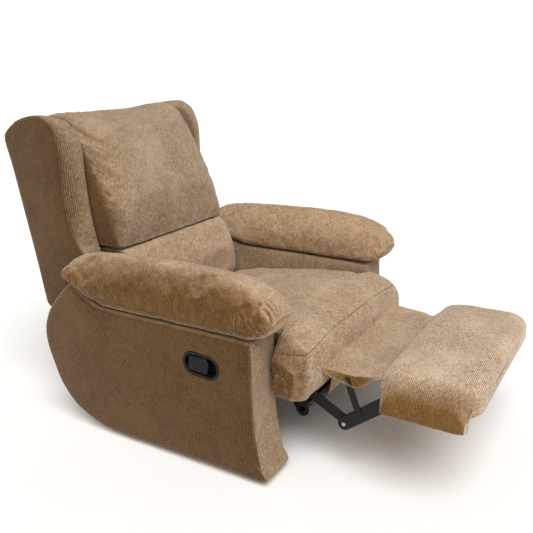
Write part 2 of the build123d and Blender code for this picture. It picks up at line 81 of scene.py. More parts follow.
def loopOf(points, count):
    # closed Catmull-Rom curve through the points, then equal steps along its length
    p = np.array(points, float)
    t = np.linspace(0, 1, 14, endpoint=False)[None, :, None]
    a, b, c, d = (np.roll(p, k, axis=0)[:, None, :] for k in (1, 0, -1, -2))
    fine = 0.5 * (2 * b + (c - a) * t + (2 * a - 5 * b + 4 * c - d) * t ** 2
                  + (3 * b - a - 3 * c + d) * t ** 3)
    fine = fine.reshape(-1, p.shape[1])
    fine = np.vstack([fine, fine[:1]])
    along = np.concatenate([[0], np.cumsum(np.linalg.norm(np.diff(fine, axis=0), axis=1))])
    want = np.linspace(0, along[-1], count, endpoint=False)
    return np.stack([np.interp(want, along, fine[:, k]) for k in range(fine.shape[1])], 1)


def lineOf(points, count):
    # open Catmull-Rom curve through the points, in equal steps
    p = np.array(points, float)
    p = np.vstack([2 * p[0] - p[1], p, 2 * p[-1] - p[-2]])
    t = np.linspace(0, 1, 14)[None, :, None]
    a, b, c, d = (p[k:len(p) - 3 + k][:, None, :] for k in range(4))
    fine = 0.5 * (2 * b + (c - a) * t + (2 * a - 5 * b + 4 * c - d) * t ** 2
                  + (3 * b - a - 3 * c + d) * t ** 3)
    fine = fine.reshape(-1, p.shape[1])
    along = np.concatenate([[0], np.cumsum(np.linalg.norm(np.diff(fine, axis=0), axis=1))])
    want = np.linspace(0, along[-1], count)
    return np.stack([np.interp(want, along, fine[:, k]) for k in range(fine.shape[1])], 1)


def addMesh(name, points, faces, weave, finish):
    # points in the row frame; weave holds one (across ribs, along ribs) pair in metres per corner
    mesh = bpy.data.meshes.new(name)
    mesh.from_pydata([], [], [])
    mesh.vertices.add(len(points))
    mesh.vertices.foreach_set("co", np.asarray(points, np.float32).ravel())
    sizes = np.array([len(f) for f in faces])
    flat = np.concatenate([np.asarray(f) for f in faces])
    mesh.loops.add(len(flat))
    mesh.loops.foreach_set("vertex_index", flat.astype(np.int32))
    mesh.polygons.add(len(faces))
    mesh.polygons.foreach_set("loop_start", np.concatenate([[0], np.cumsum(sizes)[:-1]]).astype(np.int32))
    mesh.polygons.foreach_set("loop_total", sizes.astype(np.int32))
    mesh.polygons.foreach_set("use_smooth", np.ones(len(faces), bool))
    layer = mesh.uv_layers.new(name="weave")
    layer.data.foreach_set("uv", np.asarray(weave, np.float32).ravel())
    mesh.update(calc_edges=True)
    mesh.validate()
    mesh.materials.append(finish)
    piece = bpy.data.objects.new(name, mesh)
    bpy.context.scene.collection.objects.link(piece)
    return piece


skins = {}   # what refine() needs to know about each grid


def closedSkin(name, rings, across, along, finish, flatRows=(), flatAxes=(1, 2)):
    # rings: (rows, columns, 3) stations of one closed skin, wrapping round the columns, ends filled
    # across, along: (rows, columns + 1) weave coordinates; flatRows take theirs from two axes instead
    rows, columns = rings.shape[:2]
    points = rings.reshape(-1, 3).copy()
    points[:, 1] -= originY
    i, j = np.meshgrid(np.arange(rows - 1), np.arange(columns), indexing="ij")
    k = (j + 1) % columns
    quads = np.stack([i * columns + j, i * columns + k, (i + 1) * columns + k,
                      (i + 1) * columns + j], -1).reshape(-1, 4)
    corner = [(i, j), (i, j + 1), (i + 1, j + 1), (i + 1, j)]
    weave = np.stack([np.stack([across[a, b], along[a, b]], -1) for a, b in corner], 2)
    wrapped = np.concatenate([rings, rings[:, :1]], 1)[..., list(flatAxes)]
    flat = np.stack([wrapped[a, b] for a, b in corner], 2)
    isFlat = np.isin(i, list(flatRows))[..., None, None]
    weave = np.where(isFlat, flat, weave).reshape(-1, 2)
    first = np.arange(columns)[::-1]
    last = (rows - 1) * columns + np.arange(columns)
    ends = [first, last]
    endWeave = [rings.reshape(-1, 3)[e][:, list(flatAxes)] for e in ends]
    faces = list(quads) + ends
    if signedVolume(points, quads) < 0:
        faces = [f[::-1] for f in faces]
        weave = weave.reshape(-1, 4, 2)[:, ::-1].reshape(-1, 2)
        endWeave = [w[::-1] for w in endWeave]
    piece = addMesh(name, points, faces, np.vstack([weave] + endWeave), finish)
    skins[piece.name] = ((rows, columns), across, along, flatRows, flatAxes)
    return piece


def signedVolume(points, quads):
    # six times the enclosed volume, positive when the faces look outwards
    a, b, c, d = (points[quads[:, n]] for n in range(4))
    return np.sum(np.cross(a, b) * c) + np.sum(np.cross(a, c) * d)


innermostRing = 0.05   # the last ring of an end face, as a share of its outline
deepestPull = 0.9      # no point is drawn further towards the spine than this share of the way


def bodyAcross(name, outlines, span, shape, spine, finish):
    # a padded body between two outlines in two planes: ring after ring crosses from one end plane to
    # the other, and each ring is its outline drawn in towards the spine. Within "edge" of an end plane
    # the ring draws in by "inset" times (1 - sin angle), which rounds the corner; then the end face
    # closes in rings that shrink on the spine. shape["move"](rings, face) bends the finished skin;
    # face is 0 on the body and grows to nearly 1 at the middle of an end face.
    columns = shape["columns"]
    a, b = (loopOf(points, columns) for points in outlines)
    near, far = span
    sign = np.sign(far - near)
    edge, inset = shape["edge"], shape.get("inset", shape["edge"])
    turn = np.linspace(0, np.pi / 2, shape["steps"])
    body = np.linspace(near + sign * edge, far - sign * edge, shape["across"])[1:-1]
    shrink = np.linspace(innermostRing, 1, shape["faceRings"])[:-1]
    drawIn = np.concatenate([np.ones(len(shrink)), 1 - np.sin(turn), np.zeros(len(body)),
                             1 - np.sin(turn[::-1]), np.ones(len(shrink))])
    at = np.concatenate([np.full(len(shrink), near), near + sign * edge * (1 - np.cos(turn)), body,
                         far - sign * edge * (1 - np.cos(turn[::-1])), np.full(len(shrink), far)])
    size = np.concatenate([shrink, np.ones(2 * len(turn) + len(body)), shrink[::-1]])
    share = ((at - near) / (far - near))[:, None, None]
    loops = mixed(a[None], b[None], share)
    heart = nearestOnLine(loops, spine)
    away = loops - heart
    length = np.maximum(np.linalg.norm(away, axis=-1, keepdims=True), 1e-6)
    give = shape["give"](loops)[..., None] if "give" in shape else 1.0
    pull = np.minimum(inset * give * drawIn[:, None, None] / length, deepestPull)
    flat = heart + away * (1 - pull) * size[:, None, None]
    rings = np.concatenate([np.broadcast_to(at[:, None, None], loops.shape[:2] + (1,)), flat], -1)
    if shape.get("endways"):
        rings = rings[..., [1, 0, 2]]
    rings = shape["move"](rings, (1 - size)[:, None])
    girth = np.linalg.norm(np.diff(np.vstack([a, a[:1]]), axis=0), axis=1)
    girth = np.concatenate([[0], np.cumsum(girth)])[None] * np.ones((len(rings), 1))
    reach = np.concatenate([[0], np.cumsum(np.hypot(np.diff(at), inset * np.diff(drawIn)))])
    over = np.repeat(reach[:, None], columns + 1, 1)
    across, along = (girth, over) if shape["ribs"] == "across" else (over, girth)
    flatRows = [n for n in range(len(rings) - 1) if min(size[n], size[n + 1]) < 1]
    return closedSkin(name, rings, across, along, finish, flatRows, shape.get("flatAxes", (1, 2)))


def nearestOnLine(points, line):
    # for each point, the nearest point on a polyline of (y, z) corners
    line = np.array(line, float)
    best = np.full(points.shape[:-1], np.inf)
    result = np.zeros_like(points)
    for start, end in zip(line[:-1], line[1:]):
        d = end - start
        t = np.clip(((points - start) @ d) / (d @ d), 0, 1)[..., None]
        near = start + t * d
        gap = np.linalg.norm(points - near, axis=-1)
        closer = gap < best
        best = np.where(closer, gap, best)
        result = np.where(closer[..., None], near, result)
    return result


cordSides = 6
offWay = np.array([0.31, 0.17, 0.93])   # a direction that no seam runs along, to turn the rings by


def seamCord(name, points, radius, finish, count=80):
    # thin stitched ridge: a small ring of points carried along a smooth line in (x, y, z)
    path = lineOf(points, count)
    path[:, 1] -= originY
    way = np.gradient(path, axis=0)
    way /= np.linalg.norm(way, axis=1, keepdims=True)
    side = np.cross(way, offWay)
    side /= np.linalg.norm(side, axis=1, keepdims=True)
    up = np.cross(side, way)
    turn = np.linspace(0, 2 * np.pi, cordSides, endpoint=False)
    swell = radius * (1 + 0.25 * np.sin(np.arange(count) * 2.1))
    swell[[0, -1]] *= 0.3
    ring = side[:, None] * np.cos(turn)[None, :, None] + up[:, None] * np.sin(turn)[None, :, None]
    points3 = path[:, None] + ring * swell[:, None, None]
    n = cordSides
    i, j = np.meshgrid(np.arange(count - 1), np.arange(n), indexing="ij")
    k = (j + 1) % n
    quads = np.stack([i * n + j, i * n + k, (i + 1) * n + k, (i + 1) * n + j], -1).reshape(-1, 4)
    faces = list(quads) + [np.arange(n)[::-1], (count - 1) * n + np.arange(n)]
    if signedVolume(points3.reshape(-1, 3), quads) < 0:
        faces = [f[::-1] for f in faces]
    total = sum(len(f) for f in faces)
    return addMesh(name, points3.reshape(-1, 3), faces, np.zeros((total, 2)), finish)


def mirrored(name, piece):
    # the same skin on the chair's other side, turned outwards again
    other = piece.copy()
    other.data = piece.data.copy()
    other.name = name
    other.data.name = name
    other.data.transform(Matrix.Scale(-1, 4, (1, 0, 0)))
    other.data.flip_normals()
    bpy.context.scene.collection.objects.link(other)
    return other


def pointsOf(piece):
    co = np.empty(len(piece.data.vertices) * 3, np.float32)
    piece.data.vertices.foreach_get("co", co)
    return co.reshape(-1, 3).astype(float)


def normalsOf(piece):
    n = np.empty(len(piece.data.vertices) * 3, np.float32)
    piece.data.vertices.foreach_get("normal", n)
    return n.reshape(-1, 3).astype(float)


def setPoints(piece, points):
    piece.data.vertices.foreach_set("co", np.asarray(points, np.float32).ravel())
    piece.data.update()


def relief(piece, field):
    # moves each point along its own normal by field(points in chair measure, normals)
    p = pointsOf(piece)
    n = normalsOf(piece)
    chair = p + np.array([0, originY, 0])
    setPoints(piece, p + n * field(chair, n)[:, None])


def between(grid, axis, wrap):
    # halfway rows by the cubic rule (-1, 9, 9, -1) / 16, woven between the old ones
    grid = np.moveaxis(grid, axis, 0)
    if wrap:
        after = np.roll(grid, -1, 0)
        half = (9 * (grid + after) - np.roll(grid, 1, 0) - np.roll(grid, -2, 0)) / 16
        both = np.stack([grid, half], 1).reshape(-1, *grid.shape[1:])
    else:
        padded = np.concatenate([2 * grid[:1] - grid[1:2], grid, 2 * grid[-1:] - grid[-2:-1]])
        half = (9 * (padded[1:-2] + padded[2:-1]) - padded[:-3] - padded[3:]) / 16
        both = np.stack([grid[:-1], half], 1).reshape(-1, *grid.shape[1:])
        both = np.concatenate([both, grid[-1:]])
    return np.moveaxis(both, 0, axis)


def halfway(values, axis):
    # straight midpoints woven between the old values, for weave coordinates
    values = np.moveaxis(values, axis, 0)
    both = np.stack([values[:-1], (values[:-1] + values[1:]) / 2], 1).reshape(-1, *values.shape[1:])
    return np.moveaxis(np.concatenate([both, values[-1:]]), 0, axis)


def refine(piece):
    # the same skin with twice the rows and columns
    shape, across, along, flatRows, flatAxes = skins.pop(piece.name)
    rings = pointsOf(piece).reshape(*shape, 3) + np.array([0, originY, 0])
    rings = between(between(rings, 0, False), 1, True)
    across, along = (halfway(halfway(w, 0), 1) for w in (across, along))
    flatRows = [2 * r + k for r in flatRows for k in (0, 1)]
    old = piece.data
    finer = closedSkin(piece.name + "_finer", rings, across, along, old.materials[0], flatRows, flatAxes)
    piece.data = finer.data
    bpy.data.objects.remove(finer)
    bpy.data.meshes.remove(old)
    piece.data.name = piece.name


def applyModifiers(piece):
    depsgraph = bpy.context.evaluated_depsgraph_get()
    mesh = bpy.data.meshes.new_from_object(piece.evaluated_get(depsgraph))
    piece.modifiers.clear()
    old = piece.data
    piece.data = mesh
    mesh.name = old.name
    bpy.data.meshes.remove(old)


def puff(piece, hold, settings):
    # cloth with inner pressure; hold(points) is 1 where the cover is sewn or bears on a frame
    start = pointsOf(piece)
    grip = np.clip(hold(start + np.array([0, originY, 0])), 0, 1)
    group = piece.vertex_groups.new(name="sewn")
    for level in np.unique(np.round(grip, 1)):
        if level > 0:
            group.add([int(n) for n in np.nonzero(np.round(grip, 1) == level)[0]], float(level), "REPLACE")
    cloth = piece.modifiers.new("cover", "CLOTH")
    c = cloth.settings
    c.quality = 5
    c.mass = 0.35
    c.tension_stiffness = c.compression_stiffness = settings["stretch"]
    c.shear_stiffness = settings["stretch"] * 0.5
    c.bending_stiffness = settings["bend"]
    c.use_pressure = True
    c.uniform_pressure_force = settings["pressure"]
    c.shrink_min = settings["shrink"]
    c.vertex_group_mass = "sewn"
    c.pin_stiffness = 1.0
    c.effector_weights.gravity = 0
    cloth.collision_settings.use_collision = False
    cloth.point_cache.frame_start = 1
    cloth.point_cache.frame_end = settings["frames"]
    scene = bpy.context.scene
    for step in range(1, settings["frames"] + 1):
        scene.frame_set(step)
    depsgraph = bpy.context.evaluated_depsgraph_get()
    moved = np.empty(len(start) * 3, np.float32)
    piece.evaluated_get(depsgraph).data.vertices.foreach_get("co", moved)
    shift = moved.reshape(-1, 3) - start
    length = np.linalg.norm(shift, axis=1, keepdims=True)
    shift *= np.minimum(1, settings["cap"] / np.maximum(length, 1e-9))
    piece.modifiers.clear()
    piece.vertex_groups.clear()
    setPoints(piece, start + shift)
    scene.frame_set(1)
    print("cover puffed:", piece.name, "furthest", round(float(length.max()) * 1000, 1), "mm")


class Wire:
    # one socket; sums and products of it add Math nodes
    def __init__(self, finish, socket):
        self.finish = finish
        self.socket = socket

    def math(self, operation, other=None):
        inputs = {0: self} if other is None else {0: self, 1: other}
        return self.finish.node("ShaderNodeMath", {"operation": operation}, inputs)

    def __add__(self, other):
        return self.math("ADD", other)

    def __mul__(self, other):
        return self.math("MULTIPLY", other)

    __radd__ = __add__
    __rmul__ = __mul__


class Finish:
    # one material while it is being wired
    def __init__(self, name, **fixed):
        self.material = bpy.data.materials.new(name)
        self.material.use_nodes = True
        self.tree = self.material.node_tree
        self.shader = self.tree.nodes["Principled BSDF"]
        for socket, value in fixed.items():
            self.shader.inputs[socket.replace("_", " ")].default_value = value

    def node(self, kind, settings=(), inputs=(), out=0):
        made = self.tree.nodes.new(kind)
        for key, value in dict(settings).items():
            setattr(made, key, value)
        for key, value in dict(inputs).items():
            self.feed(made.inputs[key], value)
        return Wire(self, made.outputs[out])

    def feed(self, socket, value):
        if isinstance(value, Wire):
            self.tree.links.new(value.socket, socket)
        else:
            socket.default_value = value

    def noise(self, place, scale, detail=2.0, rough=0.55):
        return self.node("ShaderNodeTexNoise", {}, {"Vector": place, "Scale": scale, "Detail": detail,
                                                   "Roughness": rough})

    def spread(self, value, low, high, a, b):
        return self.node("ShaderNodeMapRange", {}, {"Value": value, "From Min": low, "From Max": high,
                                                    "To Min": a, "To Max": b})

    def blendColours(self, share, a, b, mode="MIX"):
        return self.node("ShaderNodeMix", {"data_type": "RGBA", "blend_type": mode},
                         {0: share, 6: a, 7: b}, 2)

    def bump(self, height, strength, distance):
        return self.node("ShaderNodeBump", {}, {"Strength": strength, "Distance": distance,
                                                "Height": height})

    def wear(self, **sockets):
        for socket, value in sockets.items():
            self.feed(self.shader.inputs[socket.replace("_", " ")], value)
        return self.material


chenilleLook = {
    "pitch": 0.0048,         # from one rib to the next, in metres
    "light": (0.66, 0.475, 0.318), "dark": (0.165, 0.100, 0.050),
    "nap": (0.62, 0.49, 0.37),           # where the pile is brushed over
    "turned": (0.30, 0.205, 0.075, 1),     # painted side shade: multiplies the faces that look outwards darker and warmer
    "ribDepth": 0.0011, "sheen": 0.30,
}


def toned(colour, tint, warm):
    # a yarn colour made darker by tint, and warmer by taking green and still more blue out of it; several
    # copies of the chenille below use this as painted light and shade
    return tuple(c * tint * (1 - warm * loss) for c, loss in zip(colour, (0.1, 0.25, 0.5))) + (1,)


def chenille(name, tint=1.0, warm=0.0):
    # ribs = sine of the across-weave coordinate, broken into slubs by a stretched noise
    look = chenilleLook
    f = Finish(name, Sheen_Weight=look["sheen"], Sheen_Roughness=0.45, Specular_IOR_Level=0.15)
    f.shader.inputs["Sheen Tint"].default_value = (0.95, 0.86, 0.75, 1)
    place = f.node("ShaderNodeTexCoord", out=3)
    weave = f.node("ShaderNodeUVMap", {"uv_map": "weave"})
    wobble = f.noise(place, 55.0, 2.0) * 0.0030
    split = f.node("ShaderNodeSeparateXYZ", {}, {0: weave})
    u = split + wobble
    v = Wire(f, split.socket.node.outputs[1])
    rib = (u * (2 * math.pi / look["pitch"])).math("SINE") * 0.5 + 0.5
    stretched = f.node("ShaderNodeCombineXYZ", {}, {0: u * 270.0, 1: v * 72.0})
    slub = f.noise(stretched, 1.0, 2.0)
    crossed = f.node("ShaderNodeCombineXYZ", {}, {0: u * 84.0, 1: v * 330.0})
    weft = f.noise(crossed, 1.0, 1.0)
    patch = f.noise(place, 7.0, 3.0, 0.6)
    blotch = f.noise(place, 38.0, 3.0, 0.65)
    fuzz = f.noise(place, 620.0, 1.0)
    tone = rib * 0.42 + slub * 0.85 + weft * 0.60 + fuzz * 0.22 + blotch * 0.40 + patch * 0.30
    share = f.spread(tone, 1.09, 1.71, 0.0, 1.0)
    colour = f.blendColours(share, toned(look["dark"], tint, warm), toned(look["light"], tint, warm))
    napShare = f.spread(patch, 0.48, 0.72, 0.0, 0.22)
    colour = f.blendColours(napShare, colour, toned(look["nap"], tint, warm))
    # painted side shade: where the normal points away from the chair's middle (normal x times the sign of x),
    # the colour is multiplied darker and warmer by the turned colour
    facing = f.node("ShaderNodeSeparateXYZ", {}, {0: f.node("ShaderNodeTexCoord", out=1)})
    outward = facing * f.node("ShaderNodeSeparateXYZ", {}, {0: place}).math("SIGN")
    colour = f.blendColours(f.spread(outward, 0.30, 0.97, 0.0, 1.0), colour, look["turned"], "MULTIPLY")
    height = rib * 0.55 + slub * 0.7 + weft * 0.25 + fuzz * 0.35
    return f.wear(Base_Color=colour, Roughness=f.spread(tone, 1.0, 1.7, 0.97, 0.84),
                  Normal=f.bump(height, 0.75, look["ribDepth"]))


def plainCloth(name, colour, grain=900.0):
    f = Finish(name, Sheen_Weight=0.1, Specular_IOR_Level=0.2)
    place = f.node("ShaderNodeTexCoord", out=3)
    thread = f.noise(place, grain, 1.0)
    stain = f.noise(place, 14.0, 3.0)
    shade = thread * 0.4 + stain * 0.6
    low = tuple(c * 0.72 for c in colour) + (1,)
    mixedColour = f.blendColours(f.spread(shade, 0.3, 0.7, 0.0, 1.0), low, tuple(colour) + (1,))
    return f.wear(Base_Color=mixedColour, Roughness=f.spread(stain, 0.3, 0.7, 0.8, 0.95),
                  Normal=f.bump(thread, 0.4, 0.0004))


def mouldedPlastic(name, colour, gloss):
    # fine spark texture with faint rubbed patches
    f = Finish(name, Specular_IOR_Level=0.22)
    place = f.node("ShaderNodeTexCoord", out=3)
    spark = f.noise(place, 1500.0, 1.0)
    rub = f.noise(place, 22.0, 4.0, 0.7)
    brighter = tuple(c * 2.2 + 0.006 for c in colour) + (1,)
    mixedColour = f.blendColours(f.spread(rub, 0.52, 0.75, 0.0, 1.0), tuple(colour) + (1,), brighter)
    return f.wear(Base_Color=mixedColour, Roughness=f.spread(rub, 0.3, 0.7, gloss, gloss + 0.22),
                  Normal=f.bump(spark, 0.25, 0.0002))


def enamelledSteel(name):
    # black stoving enamel: orange peel, dust in the hollows, bare specks
    f = Finish(name, Specular_IOR_Level=0.3)
    place = f.node("ShaderNodeTexCoord", out=3)
    peel = f.noise(place, 260.0, 2.0)
    dust = f.noise(place, 18.0, 5.0, 0.65)
    chips = f.spread(f.noise(place, 95.0, 3.0, 0.7), 0.70, 0.74, 0.0, 1.0)
    colour = f.blendColours(f.spread(dust, 0.45, 0.75, 0.0, 0.7), (0.0035, 0.0032, 0.003, 1),
                            (0.010, 0.0085, 0.007, 1))
    colour = f.blendColours(chips, colour, (0.12, 0.105, 0.09, 1))
    return f.wear(Base_Color=colour, Roughness=f.spread(dust, 0.3, 0.7, 0.42, 0.68), Metallic=chips * 0.7,
                  Normal=f.bump(peel, 0.2, 0.0003))


def brightSteel(name, colour, rough):
    f = Finish(name)
    place = f.node("ShaderNodeTexCoord", out=3)
    cloud = f.noise(place, 120.0, 4.0, 0.7)
    duller = tuple(c * 0.55 for c in colour) + (1,)
    mixedColour = f.blendColours(f.spread(cloud, 0.35, 0.7, 0.0, 1.0), tuple(colour) + (1,), duller)
    return f.wear(Base_Color=mixedColour, Metallic=f.spread(cloud, 0.3, 0.8, 1.0, 0.8),
                  Roughness=f.spread(cloud, 0.3, 0.7, rough, rough + 0.25), Normal=f.bump(cloud, 0.15, 0.0002))


def rawTimber(name):
    # growth lines: noise stretched along the board
    f = Finish(name, Specular_IOR_Level=0.25)
    place = f.node("ShaderNodeTexCoord", out=3)
    lengthwise = f.node("ShaderNodeMapping", {}, {"Vector": place, "Scale": (6.0, 90.0, 90.0)})
    grain = f.noise(lengthwise, 1.0, 5.0, 0.6)
    fine = f.node("ShaderNodeMapping", {}, {"Vector": place, "Scale": (30.0, 700.0, 700.0)})
    pores = f.noise(fine, 1.0, 1.0)
    share = f.spread(grain, 0.35, 0.68, 0.0, 1.0)
    colour = f.blendColours(share, (0.30, 0.18, 0.09, 1), (0.58, 0.42, 0.25, 1))
    return f.wear(Base_Color=colour, Roughness=f.spread(grain, 0.3, 0.7, 0.6, 0.8),
                  Normal=f.bump(pores * 0.6 + grain * 0.4, 0.3, 0.0006))


cover = chenille("chenille", tint=0.92)
# painted shade: the arm, upper back and wing covers are darker, warmer copies of the one chenille, and the
# pillow cover a warmer copy, standing in for the shade on the chair's sides
coverArmShaded = chenille("chenille_arm_shaded", tint=0.72, warm=0.35)
coverPillowWarmShade = chenille("chenille_pillow_warm_shade", tint=0.93, warm=0.25)
coverUpperShaded = chenille("chenille_upper_back_shaded", tint=0.76, warm=0.1)
coverWingShaded = chenille("chenille_wing_shaded", tint=0.66, warm=0.2)
# painted light: the footrest cover is a lighter, cooler copy of the same chenille, standing in for the light on
# its top
coverFootLit = chenille("chenille_footrest_lit", tint=1.10, warm=-0.3)
coverBack = chenille("chenille_back", tint=0.62, warm=0.5)
seamThread = chenille("chenille_seam", tint=0.36)
flapCloth = chenille("chenille_flap", tint=0.95)
lining = plainCloth("grey_lining", (0.55, 0.49, 0.46))
blackPlastic = mouldedPlastic("black_plastic", (0.004, 0.004, 0.0045), 0.40)
nylon = mouldedPlastic("nylon", (0.03, 0.03, 0.03), 0.5)
enamel = enamelledSteel("black_enamel")
zinc = brightSteel("zinc_plate", (0.56, 0.55, 0.52), 0.28)
springWire = brightSteel("spring_wire", (0.36, 0.35, 0.33), 0.35)
timber = rawTimber("raw_timber")
print("finishes wired")


def traced(piece, points, towards):
    # lands each (x, y, z) on the skin, looking from outside along the given direction
    direction = Vector(towards).normalized()
    landed = []
    for p in lineOf(points, 90):
        start = Vector((p[0], p[1] - originY, p[2])) - direction * 0.25
        hit, place, _, _ = piece.ray_cast(start, direction)
        if hit:
            landed.append((place.x, place.y + originY, place.z))
    return landed


def cutAway(piece, boxes):
    # takes block-shaped pockets out of a skin; each block is ((x, y, z) low, (x, y, z) high)
    for low, high in boxes:
        low, high = np.array(low) - [0, originY, 0], np.array(high) - [0, originY, 0]
        corners = np.array([[i, j, k] for i in (0, 1) for j in (0, 1) for k in (0, 1)])
        mesh = bpy.data.meshes.new("pocket")
        faces = [(0, 1, 3, 2), (4, 6, 7, 5), (0, 4, 5, 1), (2, 3, 7, 6), (0, 2, 6, 4), (1, 5, 7, 3)]
        mesh.from_pydata((low + corners * (high - low)).tolist(), [], faces)
        carve(piece, bpy.data.objects.new("pocket", mesh))


def carve(piece, cutter):
    cutter.data.update()
    block = bmesh.new()
    block.from_mesh(cutter.data)
    bmesh.ops.recalc_face_normals(block, faces=block.faces)
    block.to_mesh(cutter.data)
    block.free()
    bpy.context.scene.collection.objects.link(cutter)
    mod = piece.modifiers.new("pocket", "BOOLEAN")
    mod.operation = "DIFFERENCE"
    mod.solver = "EXACT"
    mod.object = cutter
    applyModifiers(piece)
    mesh = cutter.data
    bpy.data.objects.remove(cutter)
    bpy.data.meshes.remove(mesh)
    piece.data.polygons.foreach_set("use_smooth", np.ones(len(piece.data.polygons), bool))


def settle(piece, body, nodes=()):
    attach(piece, body)
    if nodes:
        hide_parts(*nodes)
    print("placed", piece.name, len(piece.data.polygons), "faces")
    return piece


armShape = {
    "outline": [(-0.008, 0.020), (0.150, 0.020), (0.400, 0.020), (0.560, 0.020), (0.640, 0.031),
                (0.735, 0.072),
                (0.798, 0.138), (0.832, 0.217), (0.852, 0.285), (0.852, 0.338), (0.838, 0.380),
                (0.818, 0.415), (0.775, 0.464), (0.719, 0.513), (0.687, 0.500), (0.636, 0.471),
                (0.565, 0.455), (0.300, 0.454), (0.060, 0.452), (0.034, 0.440), (0.031, 0.400),
                (0.027, 0.231), (0.018, 0.141), (0.002, 0.060)],
    "spine": [(0.15, 0.24), (0.62, 0.26)],
    "frontSeam": [(0.0335, 0.446), (0.0325, 0.40), (0.029, 0.30), (0.027, 0.231), (0.0185, 0.141),
                  (0.0055, 0.070), (-0.0045, 0.033), (0.004, 0.0225)],
    "inner": 0.343, "outer": 0.483, "seamAt": 0.4803, "crown": 0.005, "slack": 0.0016,
}
handleAt = {"y": 0.200, "z": 0.350, "tilt": math.radians(4), "length": 0.126, "height": 0.072,
            "from": -0.52, "to": -0.445, "points": 48}


def armMove(rings, face):
    # the side faces swell a little in the middle, the long rims dip and wave by a millimetre or two
    s = armShape
    side = np.sign(rings[..., :1] - (s["inner"] + s["outer"]) / 2)
    dome = s["crown"] * np.sqrt(np.clip(face, 0, 1))[..., None] * side
    wave = ripple(rings, 11, 16.0)[..., None] * s["slack"]
    rings = rings + np.concatenate([dome + wave * side * (face[..., None] > 0), 0 * dome, 0 * dome], -1)
    return rings


def handleBlock():
    # the block that cuts the handle's opening: two half circles joined by straights, tilted, carried along x
    h = handleAt
    count = h["points"]
    turn = np.linspace(0, 2 * np.pi, count, endpoint=False)
    half = (h["length"] - h["height"]) / 2
    ringY = np.cos(turn) * h["height"] / 2 + np.sign(np.cos(turn)) * half
    ringZ = np.sin(turn) * h["height"] / 2
    y = h["y"] + ringY * math.cos(h["tilt"]) - ringZ * math.sin(h["tilt"]) - originY
    z = h["z"] + ringY * math.sin(h["tilt"]) + ringZ * math.cos(h["tilt"])
    points = np.concatenate([np.stack([np.full(count, x), y, z], 1) for x in (h["from"], h["to"])])
    first = np.arange(count)
    after = (first + 1) % count
    walls = np.stack([first, first + count, after + count, after], 1).tolist()
    ends = [first.tolist(), (first + count)[::-1].tolist()]
    mesh = bpy.data.meshes.new("pocket")
    mesh.from_pydata(points.tolist(), [], walls + ends)
    return bpy.data.objects.new("pocket", mesh)


def makeArms():
    s = armShape
    arm = bodyAcross("arm_cover_left", [s["outline"]] * 2, (s["inner"], s["outer"]),
                     {"columns": 330, "edge": 0.011, "across": 12, "faceRings": 26, "ribs": "along",
                      "move": armMove, "steps": 5}, s["spine"], coverArmShaded)
    other = mirrored("arm_cover_right", arm)
    carve(other, handleBlock())
    for piece, side, sign in ((other, "right", -1), (arm, "left", 1)):
        settle(piece, "base", [f"{side}_arm_cover"])
        front = [(s["seamAt"] * sign, y, z) for y, z in s["frontSeam"]]
        seam = seamCord(f"arm_seam_{side}", front, 0.0013, seamThread, 120)
        settle(seam, "base")


makeArms()


pillowShape = {
    "inner": 0.334, "outer": 0.495, "front": -0.036, "rear": 0.747,
    "under": [(-0.036, 0.512), (-0.032, 0.500), (-0.022, 0.486), (0.000, 0.470), (0.040, 0.4595),
              (0.150, 0.458),
              (0.566, 0.4585), (0.636, 0.475), (0.690, 0.506), (0.722, 0.524), (0.747, 0.534)],
    "over": [(-0.036, 0.520), (-0.033, 0.540), (-0.024, 0.557), (0.004, 0.584), (0.050, 0.604),
             (0.105, 0.617),
             (0.196, 0.621), (0.293, 0.622), (0.429, 0.619), (0.576, 0.612), (0.667, 0.600),
             (0.715, 0.588), (0.738, 0.572), (0.747, 0.544)],
    "stations": 104, "columns": 76, "evenness": 0.55,        # 1 spaces the stations evenly
    "squareUnder": 4.2, "squareOver": 2.5, "widestAt": 0.36,  # widest this share of the way up
    "noseLength": 0.085, "noseWidth": 0.46, "tailLength": 0.05, "tailWidth": 0.84,
    "cloth": {"stretch": 9, "bend": 1.6, "pressure": 2.0, "shrink": -0.012, "frames": 15, "cap": 0.008},
}


